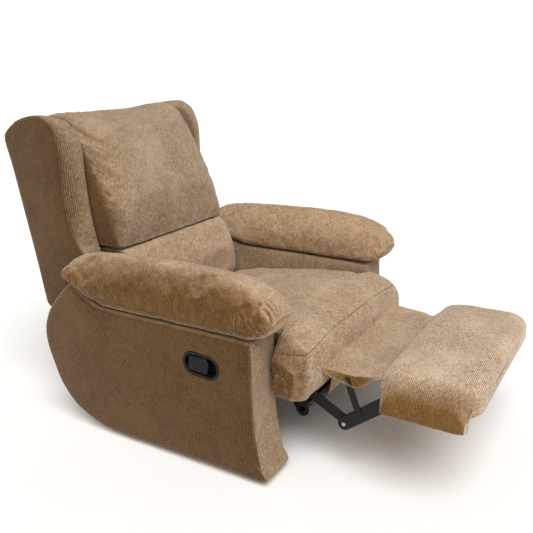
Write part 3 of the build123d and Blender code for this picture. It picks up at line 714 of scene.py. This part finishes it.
def makePillows():
    # stations along y; each is |x|^a + |z|^a = 1 with a flatter lower half, between the under and over lines
    s = pillowShape
    t = np.linspace(0, np.pi, s["stations"])
    crowded = mixed(s["front"], s["rear"], (1 - np.cos(t)) / 2)
    y = mixed(crowded, np.linspace(s["front"], s["rear"], s["stations"]), s["evenness"])
    under = np.interp(y, *np.array(s["under"]).T)
    over = np.interp(y, *np.array(s["over"]).T)
    turn = np.linspace(0, 2 * np.pi, s["columns"], endpoint=False) - np.pi / 2
    c, d = np.cos(turn), np.sin(turn)
    power = np.where(d < 0, s["squareUnder"], s["squareOver"])
    radius = (np.abs(c) ** power + np.abs(d) ** power) ** (-1 / power)
    middleX = (s["inner"] + s["outer"]) / 2
    halfX = (s["outer"] - s["inner"]) / 2
    nose = np.clip((y - s["front"]) / s["noseLength"], 0, 1)
    tail = np.clip((s["rear"] - y) / s["tailLength"], 0, 1)
    wide = halfX * (mixed(s["noseWidth"], 1, np.sqrt(1 - (1 - nose) ** 2))
                    * mixed(s["tailWidth"], 1, np.sqrt(1 - (1 - tail) ** 2)))
    x = middleX + wide[:, None] * (radius * c)[None]
    heart = mixed(under, over, s["widestAt"])
    up = np.where(d > 0, (over - heart)[:, None], (heart - under)[:, None])
    z = heart[:, None] + up * (radius * d)[None]
    rings = np.stack([x, np.broadcast_to(y[:, None], x.shape), z], -1)
    girth = np.linalg.norm(np.diff(np.concatenate([rings, rings[:, :1]], 1), axis=1), axis=-1)
    along = np.concatenate([np.zeros((len(y), 1)), np.cumsum(girth, 1)], 1)
    steps = np.linalg.norm(np.diff(rings, axis=0), axis=-1)
    across = np.concatenate([np.zeros((1, s["columns"])), np.cumsum(steps, 0)])
    across = np.concatenate([across, across[:, :1]], 1)
    pillow = closedSkin("arm_pillow_left", rings, across, along, coverPillowWarmShade)
    puff(pillow, pillowHold, s["cloth"])
    refine(pillow)
    relief(pillow, pillowRelief)
    other = mirrored("arm_pillow_right", pillow)
    for piece, side in ((other, "right"), (pillow, "left")):
        settle(piece, "base", [f"{side}_arm_pillow"])
    return {"right": other, "left": pillow}


def pillowHold(p):
    # sewn along the side seam and the front seam, and bearing on the arm underneath
    base = 1 - smooth(p[:, 2], 0.458, 0.476)
    side = bell(p[:, 2], 0.489, 0.006) * (np.abs(p[:, 0]) > 0.45)
    nose = bell(p[:, 2], 0.520, 0.010) * (p[:, 1] < 0.02)
    return np.maximum.reduce([base * 0.9, side * 0.85, nose, 1 - smooth(p[:, 1], -0.036, -0.024),
                              smooth(p[:, 1], 0.71, 0.745)])


def pillowRelief(p, n):
    # pleats over the front seam, one deep crease on the outer side, drag lines towards the back
    x, y, z = np.abs(p[:, 0]), p[:, 1], p[:, 2]
    front = 1 - smooth(y, -0.020, 0.055)
    over = smooth(z, 0.517, 0.530) * (1 - smooth(z, 0.545, 0.590))
    fan = x + (z - 0.52) * (x - 0.415) * 2.2
    pleats = front * over * (0.5 + 0.5 * np.cos(fan * 2 * np.pi / 0.019 + 1.5 * np.sin(fan * 70))) ** 2
    under = front * bell(z, 0.520, 0.004)
    outer = smooth(x, 0.455, 0.485)
    leaning = y + (z - 0.50) * 0.10
    crease = outer * bell(leaning, 0.082, 0.0045) * smooth(z, 0.464, 0.478) * (1 - smooth(z, 0.520, 0.552))
    lip = outer * bell(leaning, 0.070, 0.010) * smooth(z, 0.466, 0.485) * (1 - smooth(z, 0.515, 0.560))
    corner = outer * sum(bell(y - 0.55 * (z - 0.50), at, 0.005) * depth * (1 - smooth(z, 0.53, 0.57))
                         for at, depth in ((0.018, 0.0022), (0.002, 0.0026), (0.036, 0.0014)))
    drag = sum(bell(y + 0.35 * (z - 0.55), at, 0.008) * depth * (1 - smooth(z, low, low + 0.04))
               for at, depth, low in ((0.655, 0.0022, 0.60), (0.560, 0.0014, 0.58), (0.610, 0.0012, 0.57),
                                      (0.500, 0.0010, 0.59), (0.335, 0.0007, 0.57), (0.215, 0.0008, 0.56)))
    drag = drag * smooth(z, 0.475, 0.50)
    seam = bell(z, 0.489, 0.0030) * outer * smooth(y, 0.04, 0.08) * (1 - smooth(y, 0.60, 0.66))
    return (-0.0042 * pleats - 0.0018 * under - 0.0060 * crease + 0.0018 * lip - corner - drag
            - 0.0014 * seam + 0.0012 * ripple(p, 21, 28.0) + 0.0009 * ripple(p, 22, 75.0))


pillows = makePillows()
for side, sign in (("right", -1), ("left", 1)):
    line = [(0.60 * sign, y, z) for y, z in ((0.655, 0.513), (0.58, 0.494), (0.45, 0.488), (0.30, 0.487),
                                             (0.15, 0.487), (0.085, 0.4865), (0.03, 0.491))]
    landed = traced(pillows[side], line, (-sign, 0, 0))
    cord = seamCord(f"pillow_side_seam_{side}", landed, 0.0009, seamThread, 160)
    settle(cord, "base")
    line = [(x * sign, -0.20, z) for x, z in ((0.478, 0.502), (0.455, 0.514), (0.430, 0.520), (0.400, 0.520),
                                              (0.372, 0.514), (0.352, 0.502))]
    landed = traced(pillows[side], line, (0, 1, 0))
    cord = seamCord(f"pillow_front_seam_{side}", landed, 0.0011, seamThread, 60)
    settle(cord, "base")


seatShape = {
    "outline": [(0.044, 0.262), (0.036, 0.228), (0.012, 0.211), (-0.030, 0.214), (-0.068, 0.238),
                (-0.091, 0.282),
                (-0.097, 0.332), (-0.090, 0.376), (-0.066, 0.408), (-0.012, 0.430), (0.060, 0.432),
                (0.165, 0.424),
                (0.250, 0.414), (0.440, 0.387), (0.520, 0.373), (0.556, 0.364), (0.588, 0.354),
                (0.604, 0.338), (0.598, 0.320),
                (0.400, 0.3185), (0.200, 0.3185), (0.060, 0.3185), (0.046, 0.300)],
    "spine": [(-0.028, 0.318), (0.02, 0.335), (0.30, 0.350), (0.50, 0.342)],
    "half": 0.327, "ears": 0.401,
    "cloth": {"stretch": 10, "bend": 0.5, "pressure": 1.6, "shrink": -0.012, "frames": 16, "cap": 0.012},
}


def seatMove(rings, face):
    # the front bolster runs out past the sides in front of the arms; the top is crowned
    s = seatShape
    x, y, z = rings[..., 0], rings[..., 1], rings[..., 2]
    ear = (1 - smooth(y, 0.012, 0.024)) * smooth(z, 0.225, 0.262)
    width = s["half"] + (s["ears"] - s["half"]) * ear
    x = x / s["half"] * width
    across = np.clip(np.abs(x) / s["half"], 0, 1)
    top = smooth(z, 0.345, 0.40)
    crown = 0.010 * (1 - across ** 2) * top * smooth(y, -0.08, 0.05)
    droop = 0.050 * smooth(np.abs(x), 0.335, 0.405) * (y < 0.03) * smooth(z, 0.33, 0.42)
    bulge = 0.006 * (1 - across ** 2) * (1 - smooth(y, -0.09, -0.05))
    corner = 0.024 * smooth(np.abs(x), 0.335, 0.40) ** 2 * (1 - smooth(y, -0.08, -0.02))
    return np.stack([x, y - bulge + corner, z + crown - droop], -1)


def seatHold(p):
    ax = np.abs(p[:, 0])
    bearing = 1 - smooth(p[:, 2], 0.322, 0.335)
    seam = bell(p[:, 2], seatSeamHeight(p[:, 0]), 0.007) * (p[:, 1] < 0.0)
    inArms = p[:, 1] > 0.03    # the part that lies inArms the arms
    return np.maximum.reduce([bearing * inArms, seam * 0.9, smooth(ax, 0.300, 0.322) * inArms * 0.8,
                              smooth(p[:, 1], 0.50, 0.56), smooth(ax, 0.37, 0.395) * 0.7,
                              (1 - smooth(p[:, 2], 0.215, 0.24)) * 0.9])


def seatSeamHeight(x):
    return 0.404 - 0.012 * smooth(np.abs(x), 0.15, 0.40)


def seatRelief(p, n):
    # a welt line across the front, soft hollows where people sit, pulls at the arm corners
    x, y, z = p[:, 0], p[:, 1], p[:, 2]
    ax = np.abs(x)
    seam = bell(z, seatSeamHeight(x), 0.0035) * (1 - smooth(y, -0.02, 0.03))
    sat = 0.006 * bell(ax, 0.14, 0.11) * bell(y, 0.26, 0.15) * smooth(n[:, 2], 0.5, 0.8)
    pull = sum(bell((y - 0.045) - slope * (0.36 - ax), 0, 0.007 + 0.05 * np.clip(0.36 - ax, 0, 1)) * depth
               * smooth(ax, 0.255, 0.325) for slope, depth in ((0.9, 0.004), (0.25, 0.0035), (2.0, 0.002)))
    return (-0.0022 * seam - sat - pull * smooth(z, 0.40, 0.42) + 0.0018 * ripple(p, 31, 17.0)
            + 0.0007 * ripple(p, 32, 60.0))


def makeSeat():
    s = seatShape
    seat = bodyAcross("seat_cushion_cover", [s["outline"]] * 2, (-s["half"], s["half"]),
                      {"columns": 170, "edge": 0.030, "inset": 0.020, "across": 56, "faceRings": 9, "steps": 6,
                       "ribs": "across", "move": seatMove}, s["spine"], cover)
    puff(seat, seatHold, s["cloth"])
    refine(seat)
    relief(seat, seatRelief)
    cutAway(seat, [((-0.302, -0.052, 0.10), (0.302, 0.060, 0.2865)),
                   ((-0.304, -0.082, 0.10), (-0.258, -0.040, 0.250)),
                   ((0.258, -0.082, 0.10), (0.304, -0.040, 0.250))])
    settle(seat, "base", ["seat_cushion"])
    xs = np.linspace(-0.385, 0.385, 31)
    line = [(x, -0.25, float(seatSeamHeight(x))) for x in xs]
    landed = traced(seat, line, (0, 1, 0))
    for sign in (-1, 1):
        ends = [(0.5 * sign, y, 0.392) for y in (-0.070, -0.050, -0.027, -0.004, 0.012)]
        end = traced(seat, ends, (-sign, 0, 0))
        landed = end[::-1] + landed if sign < 0 else landed + end
    cord = seamCord("seat_welt_seam", landed, 0.0013, seamThread, 260)
    settle(cord, "base")
    return seat


seat = makeSeat()


upperShape = {
    "outline": [(0.655, 0.5905), (0.760, 0.5905), (0.868, 0.5905), (0.885, 0.640), (0.915, 0.790),
                (0.945, 0.920),
                (0.990, 0.922), (1.050, 0.915), (1.064, 0.932), (1.050, 0.968), (1.002, 0.998),
                (0.942, 1.019), (0.880, 1.020), (0.826, 0.996), (0.780, 0.940), (0.735, 0.870),
                (0.694, 0.790), (0.664, 0.715), (0.647, 0.650), (0.641, 0.612), (0.643, 0.597)],
    "spine": [(0.80, 0.640), (0.85, 0.80), (0.90, 0.90), (0.97, 0.950)],
    "half": 0.306,
    "cloth": {"stretch": 9, "bend": 0.5, "pressure": 1.6, "shrink": -0.012, "frames": 16, "cap": 0.012},
}


def frontGive(loops):
    # the front of the cushion draws back most at its sides, the top and rear hardly
    y, z = loops[..., 0], loops[..., 1]
    line = 0.770 + (z - 0.70) * 0.45
    sewn = 0.40 + 0.60 * smooth(z, 0.59, 0.70)
    return (0.12 + 0.88 * (1 - smooth(y - line, -0.04, 0.10))) * sewn * (1 - 0.35 * smooth(z, 0.86, 0.97))


def lumbarGive(loops):
    # the lumbar roll hardly rounds over where it is sewn to the cushion above
    return 1 - 0.65 * smooth(loops[..., 1], 0.50, 0.575)


def upperMove(rings, face):
    x, y, z = rings[..., 0], rings[..., 1], rings[..., 2]
    across = np.clip(np.abs(x) / upperShape["half"], 0, 1)
    top = smooth(z, 0.955, 1.01)
    swell = 0.010 * (1 - across ** 2) * (1 - smooth(y, 0.80, 0.90)) * smooth(z, 0.60, 0.68)
    lift = top * 0.007 * bell(across, 0.80, 0.30)
    return np.stack([x, y - swell, z + lift], -1)


def upperHold(p):
    seam = 1 - smooth(p[:, 2], 0.592, 0.606)
    rear = smooth(p[:, 1] - 0.885 - (p[:, 2] - 0.60) * 0.19, -0.045, 0.0)
    return np.maximum.reduce([seam, rear, smooth(np.abs(p[:, 0]), 0.285, 0.303) * 0.8])


def upperRelief(p, n):
    # short gathers over the lumbar seam, long faint drag lines, a quilted line near the top
    x, z = p[:, 0], p[:, 2]
    front = (1 - smooth(p[:, 1], 0.80, 0.86))
    low = 1 - smooth(z, 0.600, 0.675)
    gathers = sum(bell(x - tilt * (z - 0.59), at, 0.0065) * depth * (1 - smooth(z, 0.60, 0.60 + tall))
                  for at, tilt, depth, tall in ((0.060, 0.10, 0.0050, 0.090), (0.205, -0.25, 0.0040, 0.070),
                                                (-0.055, 0.2, 0.0026, 0.060), (0.130, 0.0, 0.0020, 0.050),
                                                (-0.160, 0.3, 0.0022, 0.070), (0.255, -0.5, 0.0026, 0.060),
                                                (-0.235, 0.5, 0.0024, 0.055)))
    drags = sum(bell(x - at - 0.10 * (z - 0.75), 0, 0.012) * depth * bell(z, height, 0.11)
                for at, depth, height in ((0.055, 0.0016, 0.72), (0.20, 0.0013, 0.76), (-0.10, 0.0011, 0.80),
                                          (0.12, 0.0010, 0.88), (-0.20, 0.0010, 0.73)))
    hollow = 0.0040 * bell(z, 0.605, 0.020) * front
    shoulder = sum(bell(z - 0.965 - 0.35 * x * s, 0, 0.012) * bell(x, 0.18 * s, 0.10) * 0.0022 for s in (-1, 1))
    return (-gathers * front - drags * front - hollow * (0.6 + 0.4 * np.sin(x * 46)) - shoulder * front
            + 0.0028 * ripple(p, 41, 13.0) + 0.0009 * ripple(p, 42, 48.0) - 0.0008 * low * front)


lumbarShape = {
    "outline": [(0.656, 0.5875), (0.760, 0.5875), (0.868, 0.5870), (0.862, 0.530), (0.848, 0.486),
                (0.760, 0.430),
                (0.665, 0.372), (0.600, 0.357), (0.580, 0.362), (0.571, 0.395), (0.574, 0.440),
                (0.584, 0.490), (0.602, 0.534), (0.624, 0.568), (0.640, 0.582)],
    "spine": [(0.655, 0.440), (0.72, 0.500), (0.79, 0.540)],
    "half": 0.293,
    "cloth": {"stretch": 9, "bend": 0.5, "pressure": 1.5, "shrink": -0.012, "frames": 16, "cap": 0.010},
}


def lumbarMove(rings, face):
    x, y, z = rings[..., 0], rings[..., 1], rings[..., 2]
    across = np.clip(np.abs(x) / lumbarShape["half"], 0, 1)
    swell = 0.010 * (1 - across ** 2) * (1 - smooth(y, 0.66, 0.74)) * smooth(z, 0.38, 0.44)
    return np.stack([x, y - swell, z], -1)


def lumbarHold(p):
    seam = smooth(p[:, 2], 0.568, 0.585)
    rear = smooth(p[:, 1] - 0.66 - (p[:, 2] - 0.36) * 0.9, -0.03, 0.02)
    return np.maximum.reduce([seam, rear, smooth(np.abs(p[:, 0]), 0.272, 0.29) * 0.8,
                              (1 - smooth(p[:, 2], 0.37, 0.39)) * 0.8])


def lumbarRelief(p, n):
    x, z = p[:, 0], p[:, 2]
    front = 1 - smooth(p[:, 1], 0.66, 0.72)
    pulls = sum(bell(x - tilt * (z - 0.58), at, 0.008) * depth * smooth(z, 0.58 - tall, 0.585)
                for at, tilt, depth, tall in ((-0.15, 0.4, 0.0018, 0.05), (0.02, -0.2, 0.0016, 0.04),
                                              (0.17, -0.4, 0.0020, 0.05), (0.235, -0.7, 0.0020, 0.06)))
    return -pulls * front + 0.0020 * ripple(p, 51, 15.0) + 0.0008 * ripple(p, 52, 50.0)


wingShape = {
    "outer": [(0.742, 0.579), (0.768, 0.616), (0.792, 0.666), (0.807, 0.733), (0.812, 0.812), (0.812, 0.890),
              (0.816, 0.944), (0.833, 0.990), (0.866, 1.018), (0.900, 1.028), (0.954, 1.022), (1.008, 1.004),
              (1.050, 0.977), (1.066, 0.944), (1.042, 0.850), (1.008, 0.690), (0.972, 0.520), (0.950, 0.400),
              (0.938, 0.368), (0.905, 0.358), (0.880, 0.366), (0.850, 0.425), (0.806, 0.478), (0.764, 0.528),
              (0.742, 0.556)],
    "inner": [(0.727, 0.583), (0.738, 0.616), (0.756, 0.700), (0.765, 0.790), (0.770, 0.870),
              (0.772, 0.920), (0.785, 0.962), (0.818, 0.998), (0.853, 1.013), (0.950, 1.017), (1.006, 1.001),
              (1.048, 0.975), (1.066, 0.944), (1.042, 0.850), (1.008, 0.690), (0.972, 0.520), (0.950, 0.400),
              (0.938, 0.368), (0.905, 0.358), (0.880, 0.366), (0.850, 0.425), (0.806, 0.478), (0.760, 0.530),
              (0.732, 0.560)],
    "spine": [(0.800, 0.560), (0.880, 0.640), (0.915, 0.930)],
    "near": 0.3105, "far": 0.384,
}


def wingMove(rings, face):
    # the outer panel is almost flat; the front band swells between its two edges
    s = wingShape
    x, y, z = rings[..., 0], rings[..., 1], rings[..., 2]
    outward = x > (s["near"] + s["far"]) / 2
    dome = 0.004 * np.sqrt(np.clip(face, 0, 1)) * np.where(outward, 1, 0)
    overBand = np.clip((x - s["near"]) / (s["far"] - s["near"]), 0, 1)
    band = 0.011 * np.sin(np.pi * overBand) * (face <= 0) * (1 - smooth(y, 0.84, 0.90)) * smooth(z, 0.60, 0.66)
    lift = 0.006 * np.sin(np.pi * overBand) * (face <= 0) * smooth(z, 0.98, 1.0)
    wave = 0.0013 * ripple(rings, 61, 15.0) * outward * (face > 0)
    return np.stack([x + dome + wave, y - band, z + lift], -1)


def makeBack():
    s = upperShape
    upper = bodyAcross("upper_back_cushion_cover", [s["outline"]] * 2, (-s["half"], s["half"]),
                       {"columns": 128, "edge": 0.058, "inset": 0.058, "give": frontGive, "across": 36,
                        "steps": 11, "faceRings": 7, "ribs": "along", "move": upperMove},
                       s["spine"], coverUpperShaded)
    puff(upper, upperHold, s["cloth"])
    refine(upper)
    relief(upper, upperRelief)
    settle(upper, "back", ["upper_back_cushion"])
    s = lumbarShape
    lumbar = bodyAcross("lumbar_cushion_cover", [s["outline"]] * 2, (-s["half"], s["half"]),
                        {"columns": 84, "edge": 0.030, "inset": 0.028, "across": 56, "steps": 6,
                         "faceRings": 7, "give": lumbarGive, "ribs": "along", "move": lumbarMove},
                        s["spine"], cover)
    puff(lumbar, lumbarHold, s["cloth"])
    refine(lumbar)
    relief(lumbar, lumbarRelief)
    settle(lumbar, "back", ["lumbar_cushion"])
    s = wingShape
    wing = bodyAcross("wing_left", [s["inner"], s["outer"]], (s["near"], s["far"]),
                      {"columns": 260, "edge": 0.010, "across": 12, "steps": 5, "faceRings": 16,
                       "ribs": "along", "move": wingMove}, s["spine"], coverWingShaded)
    other = mirrored("wing_right", wing)
    for piece, side, sign in ((other, "right", -1), (wing, "left", 1)):
        settle(piece, "back", [f"{side}_wing"])
        line = [(0.3808 * sign, y + 0.0012, z) for y, z in s["outer"][:12]]
        cord = seamCord(f"wing_seam_{side}", line, 0.0013, seamThread, 200)
        settle(cord, "back")


makeBack()

panelShape = {"half": 0.3085, "rise": 0.538, "swell": 0.004, "thick": 0.0075}


def makeRearPanel():
    # a stretched cover over a board: two sheets of a grid, the outer one domed and hemmed at its edge
    s = panelShape
    u, v = np.meshgrid(np.linspace(-1, 1, 60), np.linspace(0, 1, 56), indexing="ij")
    foot, head = np.array([0.948, 0.379]), np.array([1.066, 0.941])
    slope = (head - foot) / np.linalg.norm(head - foot)
    outward = np.array([slope[1], -slope[0]])
    rim = np.minimum(1 - np.abs(u), 2 * np.minimum(v, 1 - v))
    dome = s["swell"] * np.clip(rim * 1.4, 0, 1) ** 0.5 - 0.0016 * bell(rim, 0.075, 0.012) - 0.006
    flat = np.stack([u, u * 0, v], -1)
    dome = dome + 0.0008 * ripple(flat, 71, 7.0) * np.clip(rim * 6, 0, 1)
    base = foot + v[..., None] * s["rise"] * slope
    sheets = []
    for lift in (dome, np.full_like(dome, -s["thick"])):
        place = base + outward * np.minimum(lift, 0.0)[..., None]
        sheets.append(np.stack([u * s["half"], place[..., 0] - originY, place[..., 1]], -1))
    rows, columns = u.shape
    count = rows * columns
    i, j = np.meshgrid(np.arange(rows - 1), np.arange(columns - 1), indexing="ij")
    quad = np.stack([i * columns + j, i * columns + j + 1, (i + 1) * columns + j + 1,
                     (i + 1) * columns + j], -1).reshape(-1, 4)
    grid = np.arange(count).reshape(rows, columns)
    rimLoop = np.concatenate([grid[0, :], grid[1:, -1], grid[-1, -2::-1], grid[-2:0:-1, 0]])
    after = np.roll(rimLoop, -1)
    wall = np.stack([rimLoop, rimLoop + count, after + count, after], -1)
    faces = np.concatenate([quad, quad[:, ::-1] + count, wall])
    points = np.concatenate([k.reshape(-1, 3) for k in sheets])
    weave = np.concatenate([points, points])[faces][..., [0, 2]].reshape(-1, 2)
    if signedVolume(points, faces) < 0:
        faces, weave = faces[:, ::-1], weave.reshape(-1, 4, 2)[:, ::-1].reshape(-1, 2)
    panel = addMesh("rear_panel_cover", points, list(faces), weave, coverBack)
    settle(panel, "back", ["rear_panel"])


makeRearPanel()


footShape = {
    # one side view across the chair: (x, z) of the rolled top, its hems and the hollow underneath
    "outline": [(-0.3535, 0.268), (-0.3545, 0.296), (-0.349, 0.328), (-0.330, 0.358), (-0.298, 0.379),
                (-0.250, 0.389),
                (-0.120, 0.395), (0.000, 0.396), (0.120, 0.395), (0.250, 0.390), (0.298, 0.382),
                (0.330, 0.364), (0.349, 0.334), (0.3545, 0.300), (0.3535, 0.268), (0.346, 0.262),
                (0.336, 0.268), (0.334, 0.290), (0.331, 0.3082), (0.310, 0.3090), (0.160, 0.3095),
                (-0.160, 0.3095),
                (-0.310, 0.3090), (-0.331, 0.3082), (-0.334, 0.290), (-0.336, 0.268), (-0.346, 0.262)],
    "spine": [(-0.342, 0.285), (-0.325, 0.328), (-0.26, 0.345), (0.26, 0.345), (0.325, 0.328),
              (0.342, 0.285)],
    "front": -0.566, "rear": -0.284, "half": 0.355,
}


def footMove(rings, face):
    # the front edge dips and rounds over, the rear edge lies a little lower than the middle
    x, y, z = rings[..., 0], rings[..., 1], rings[..., 2]
    top = smooth(z, 0.315, 0.36)
    ends = np.abs(x) / footShape["half"]
    slope = 0.012 * smooth(y, -0.36, -0.286) * top + 0.010 * (1 - smooth(y, -0.566, -0.50)) * top
    corner = 0.030 * smooth(ends, 0.72, 1.0) ** 2
    taper = corner * (1 - smooth(y, -0.566, -0.44)) - 0.6 * corner * smooth(y, -0.36, -0.286)
    return np.stack([x, y + taper, z - slope], -1)


def footGive(loops):
    # only the outside of the pad rounds over; the hollow underneath runs straight through
    x, z = loops[..., 0], loops[..., 1]
    hollow = (np.abs(x) < 0.340) * (z < 0.312)
    return np.where(hollow, 0.0, 0.22 + 0.78 * smooth(z, 0.285, 0.335))


def footRelief(p, n):
    # the cover lies in low waves, pulled where it turns down at the ends
    x, y = p[:, 0], p[:, 1]
    pulls = sum(bell(y - at - 0.3 * (np.abs(x) - 0.3), 0, 0.014) * depth for at, depth in
                ((-0.35, 0.0012), (-0.42, 0.0010), (-0.49, 0.0012))) * smooth(np.abs(x), 0.22, 0.30)
    return -pulls + 0.0016 * ripple(p, 81, 19.0) + 0.0007 * ripple(p, 82, 55.0)


def makeFootrest():
    s = footShape
    pad = bodyAcross("footrest_pad_cover", [s["outline"]] * 2, (s["front"], s["rear"]),
                     {"columns": 210, "edge": 0.034, "inset": 0.032, "across": 36, "steps": 6, "faceRings": 4,
                      "ribs": "along", "endways": True, "flatAxes": (2, 0), "give": footGive,
                      "move": footMove}, s["spine"], coverFootLit)
    refine(pad)
    relief(pad, footRelief)
    settle(pad, "footrest", ["footrest_pad"])


makeFootrest()


flapShape = {"half": 0.303, "rear": -0.1010, "front": -0.2845, "thick": 0.0024}


def makeFlap():
    # a sheet over u (side to side) and v (seat to footrest); its side hems turn down and hang
    s = flapShape
    spaced = np.sin(np.linspace(-np.pi / 2, np.pi / 2, 130))
    u, v = np.meshgrid(spaced, np.linspace(0, 1, 44), indexing="ij")
    hollow = np.sin(np.pi * v) ** 0.8
    x = u * s["half"] * (1 - 0.012 * hollow * smooth(np.abs(u), 0.90, 1.0))
    y = mixed(s["rear"], s["front"], v)
    z = np.interp(v, [0, 0.25, 0.55, 0.8, 1], [0.3355, 0.3345, 0.3325, 0.339, 0.350])
    edge = smooth(np.abs(u), 0.965, 1.0)
    drop = edge * (0.012 + 0.020 * hollow) * (0.35 + 0.65 * hollow)
    drop = drop + 0.016 * smooth(u, 0.70, 1.0) * bell(v, 0.80, 0.13)
    z = z - drop + 0.0022 * np.sin(u * 9 + v * 3) * hollow + 0.0025 * np.sin(v * 11 + u * 2.0) * edge
    x = x + np.sign(u) * 0.004 * edge * np.sin(v * 9)
    grid = np.stack([x, y, z], -1)
    grid[..., 2] += 0.0016 * ripple(grid, 91, 24.0)
    flap = openSheet("bridge_flap_cloth", grid, flapCloth, s["thick"])
    settle(flap, "base", ["bridge_flap"])
    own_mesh(flap)
    return flap


def openSheet(name, grid, finish, thick):
    # a grid of points as a cloth with a real thickness
    rows, columns = grid.shape[:2]
    points = grid.reshape(-1, 3).copy()
    points[:, 1] -= originY
    i, j = np.meshgrid(np.arange(rows - 1), np.arange(columns - 1), indexing="ij")
    quads = np.stack([i * columns + j, i * columns + j + 1, (i + 1) * columns + j + 1,
                      (i + 1) * columns + j], -1).reshape(-1, 4)
    if np.cross(points[columns] - points[0], points[1] - points[0])[2] > 0:
        quads = quads[:, ::-1]
    side = np.concatenate([[0], np.cumsum(np.linalg.norm(np.diff(grid[:, columns // 2], axis=0), axis=1))])
    deep = np.concatenate([[0], np.cumsum(np.linalg.norm(np.diff(grid[rows // 2], axis=0), axis=1))])
    uv = np.stack(np.meshgrid(side, deep, indexing="ij"), -1)[..., ::-1].reshape(-1, 2)
    piece = addMesh(name, points, list(quads), uv[quads].reshape(-1, 2), finish)
    wall = piece.modifiers.new("cloth", "SOLIDIFY")
    wall.thickness = thick
    wall.offset = -1
    applyModifiers(piece)
    return piece


tailShape = {"half": 0.254, "thick": 0.0022,
             "line": [(-0.106, 0.3285), (-0.110, 0.300), (-0.109, 0.262), (-0.100, 0.228), (-0.080, 0.203),
                      (-0.036, 0.176)]}


def makeTail():
    # the spare end of the same cloth hangs behind the links, its pale lining towards the floor
    u, v = np.meshgrid(np.linspace(-1, 1, 70), np.linspace(0, 1, 40), indexing="ij")
    s = tailShape
    line = lineOf(s["line"], 40)
    x = u * s["half"]
    y = line[:, 0][None] + 0.004 * np.sin(u * 7) * v
    z = line[:, 1][None] + 0.003 * np.sin(u * 5 + 1) * v
    grid = np.stack([x, y, z], -1)
    tail = openSheet("flap_tail_cloth", grid, flapCloth, s["thick"])
    tail.data.materials.append(lining)
    n = np.empty(len(tail.data.polygons) * 3, np.float32)
    tail.data.polygons.foreach_get("normal", n)
    inner = n.reshape(-1, 3)[:, 1] > 0.2
    tail.data.polygons.foreach_set("material_index", inner.astype(np.int32))
    settle(tail, "base", ["flap_tail"])


makeFlap()
makeTail()


partFinish = {"black_plastic": blackPlastic, "nylon": nylon, "timber": timber, "spring_steel": springWire,
              "black_steel": enamel, "zinc_steel": zinc, "chenille": cover, "chenille_panel": coverBack}
for entry in frame["record"]["subparts"]:
    node = frame["nodes"][entry["node"]]
    for place in node.material_slots:
        place.material = partFinish[entry["material_slot"]]
print("carried-over parts finished")


room = {"floor": (0.90, 0.895, 0.885, 1), "world": (0.96, 0.975, 1.0), "worldPower": 0.36,
        "sun": {"from": (-1.0, -0.85, 2.35), "spread": 42, "power": 3.0, "colour": (1.0, 0.985, 0.965)},
        "flat": 5.0, "rim": 15.0, "rise": 4.6}


def makeFloor():
    # level out to "flat" metres, then a shallow dish: height = rise * ((r - flat) / (rim - flat))^2
    radii = np.concatenate([[0.0, room["flat"]], np.linspace(room["flat"], room["rim"], 24)[1:]])
    turn = np.linspace(0, 2 * np.pi, 96, endpoint=False)
    height = room["rise"] * np.clip((radii - room["flat"]) / (room["rim"] - room["flat"]), 0, 1) ** 2
    points = np.stack([radii[:, None] * np.cos(turn), radii[:, None] * np.sin(turn),
                       np.broadcast_to(height[:, None], (len(radii), 96))], -1)[1:].reshape(-1, 3)
    i, j = np.meshgrid(np.arange(len(radii) - 2), np.arange(96), indexing="ij")
    k = (j + 1) % 96
    quads = np.stack([i * 96 + j, (i + 1) * 96 + j, (i + 1) * 96 + k, i * 96 + k], -1).reshape(-1, 4)
    mesh = bpy.data.meshes.new("floor")
    mesh.from_pydata(points.tolist(), [], quads.tolist() + [list(range(96))])
    mesh.polygons.foreach_set("use_smooth", np.ones(len(mesh.polygons), bool))
    dish = bpy.data.objects.new("floor", mesh)
    bpy.context.scene.collection.objects.link(dish)
    return dish


floor = makeFloor()
ground = Finish("pale_floor")
grain = ground.noise(ground.node("ShaderNodeTexCoord", out=3), 3.0, 3.0)
paler = tuple(min(c * 1.03, 1) for c in room["floor"][:3]) + (1,)
floor.data.materials.append(ground.wear(Base_Color=ground.blendColours(grain, room["floor"], paler),
                                       Roughness=ground.spread(grain, 0, 1, 0.75, 0.9)))

world = bpy.data.worlds.new("studio")
world.use_nodes = True
world.node_tree.nodes["Background"].inputs["Color"].default_value = (*room["world"], 1)
world.node_tree.nodes["Background"].inputs["Strength"].default_value = room["worldPower"]
bpy.context.scene.world = world

def aimed(name, lamp, at):
    # a lamp that looks from its place at the middle of the chair
    holder = bpy.data.objects.new(name, lamp)
    holder.location = at
    holder.rotation_euler = (Vector((0, 0, 0.45)) - Vector(at)).to_track_quat("-Z", "Y").to_euler()
    bpy.context.scene.collection.objects.link(holder)


sun = bpy.data.lights.new("sun", "SUN")
sun.energy = room["sun"]["power"]
sun.angle = math.radians(room["sun"]["spread"])
sun.color = room["sun"]["colour"]
aimed("sun", sun, room["sun"]["from"])
bpy.context.scene.view_settings.view_transform = "Standard"

view = {"lens": 46.28, "film": 36.0, "reach": 200, "at": (-1.9513, -1.1452, 1.2337),
        "across": (0.50728, -0.86172, -0.00997), "up": (0.26719, 0.14626, 0.95248),
        "ahead": (0.81932, 0.48584, -0.30444)}
lens = bpy.data.cameras.new("camera")
lens.lens = view["lens"]
lens.sensor_width = view["film"]
lens.clip_end = view["reach"]
camera = bpy.data.objects.new("camera", lens)
turned = np.array([view["across"], view["up"], [-k for k in view["ahead"]], view["at"]]).T
camera.matrix_world = Matrix(turned.tolist() + [[0, 0, 0, 1]])
bpy.context.scene.collection.objects.link(camera)
bpy.context.scene.camera = camera

print("scene ready")
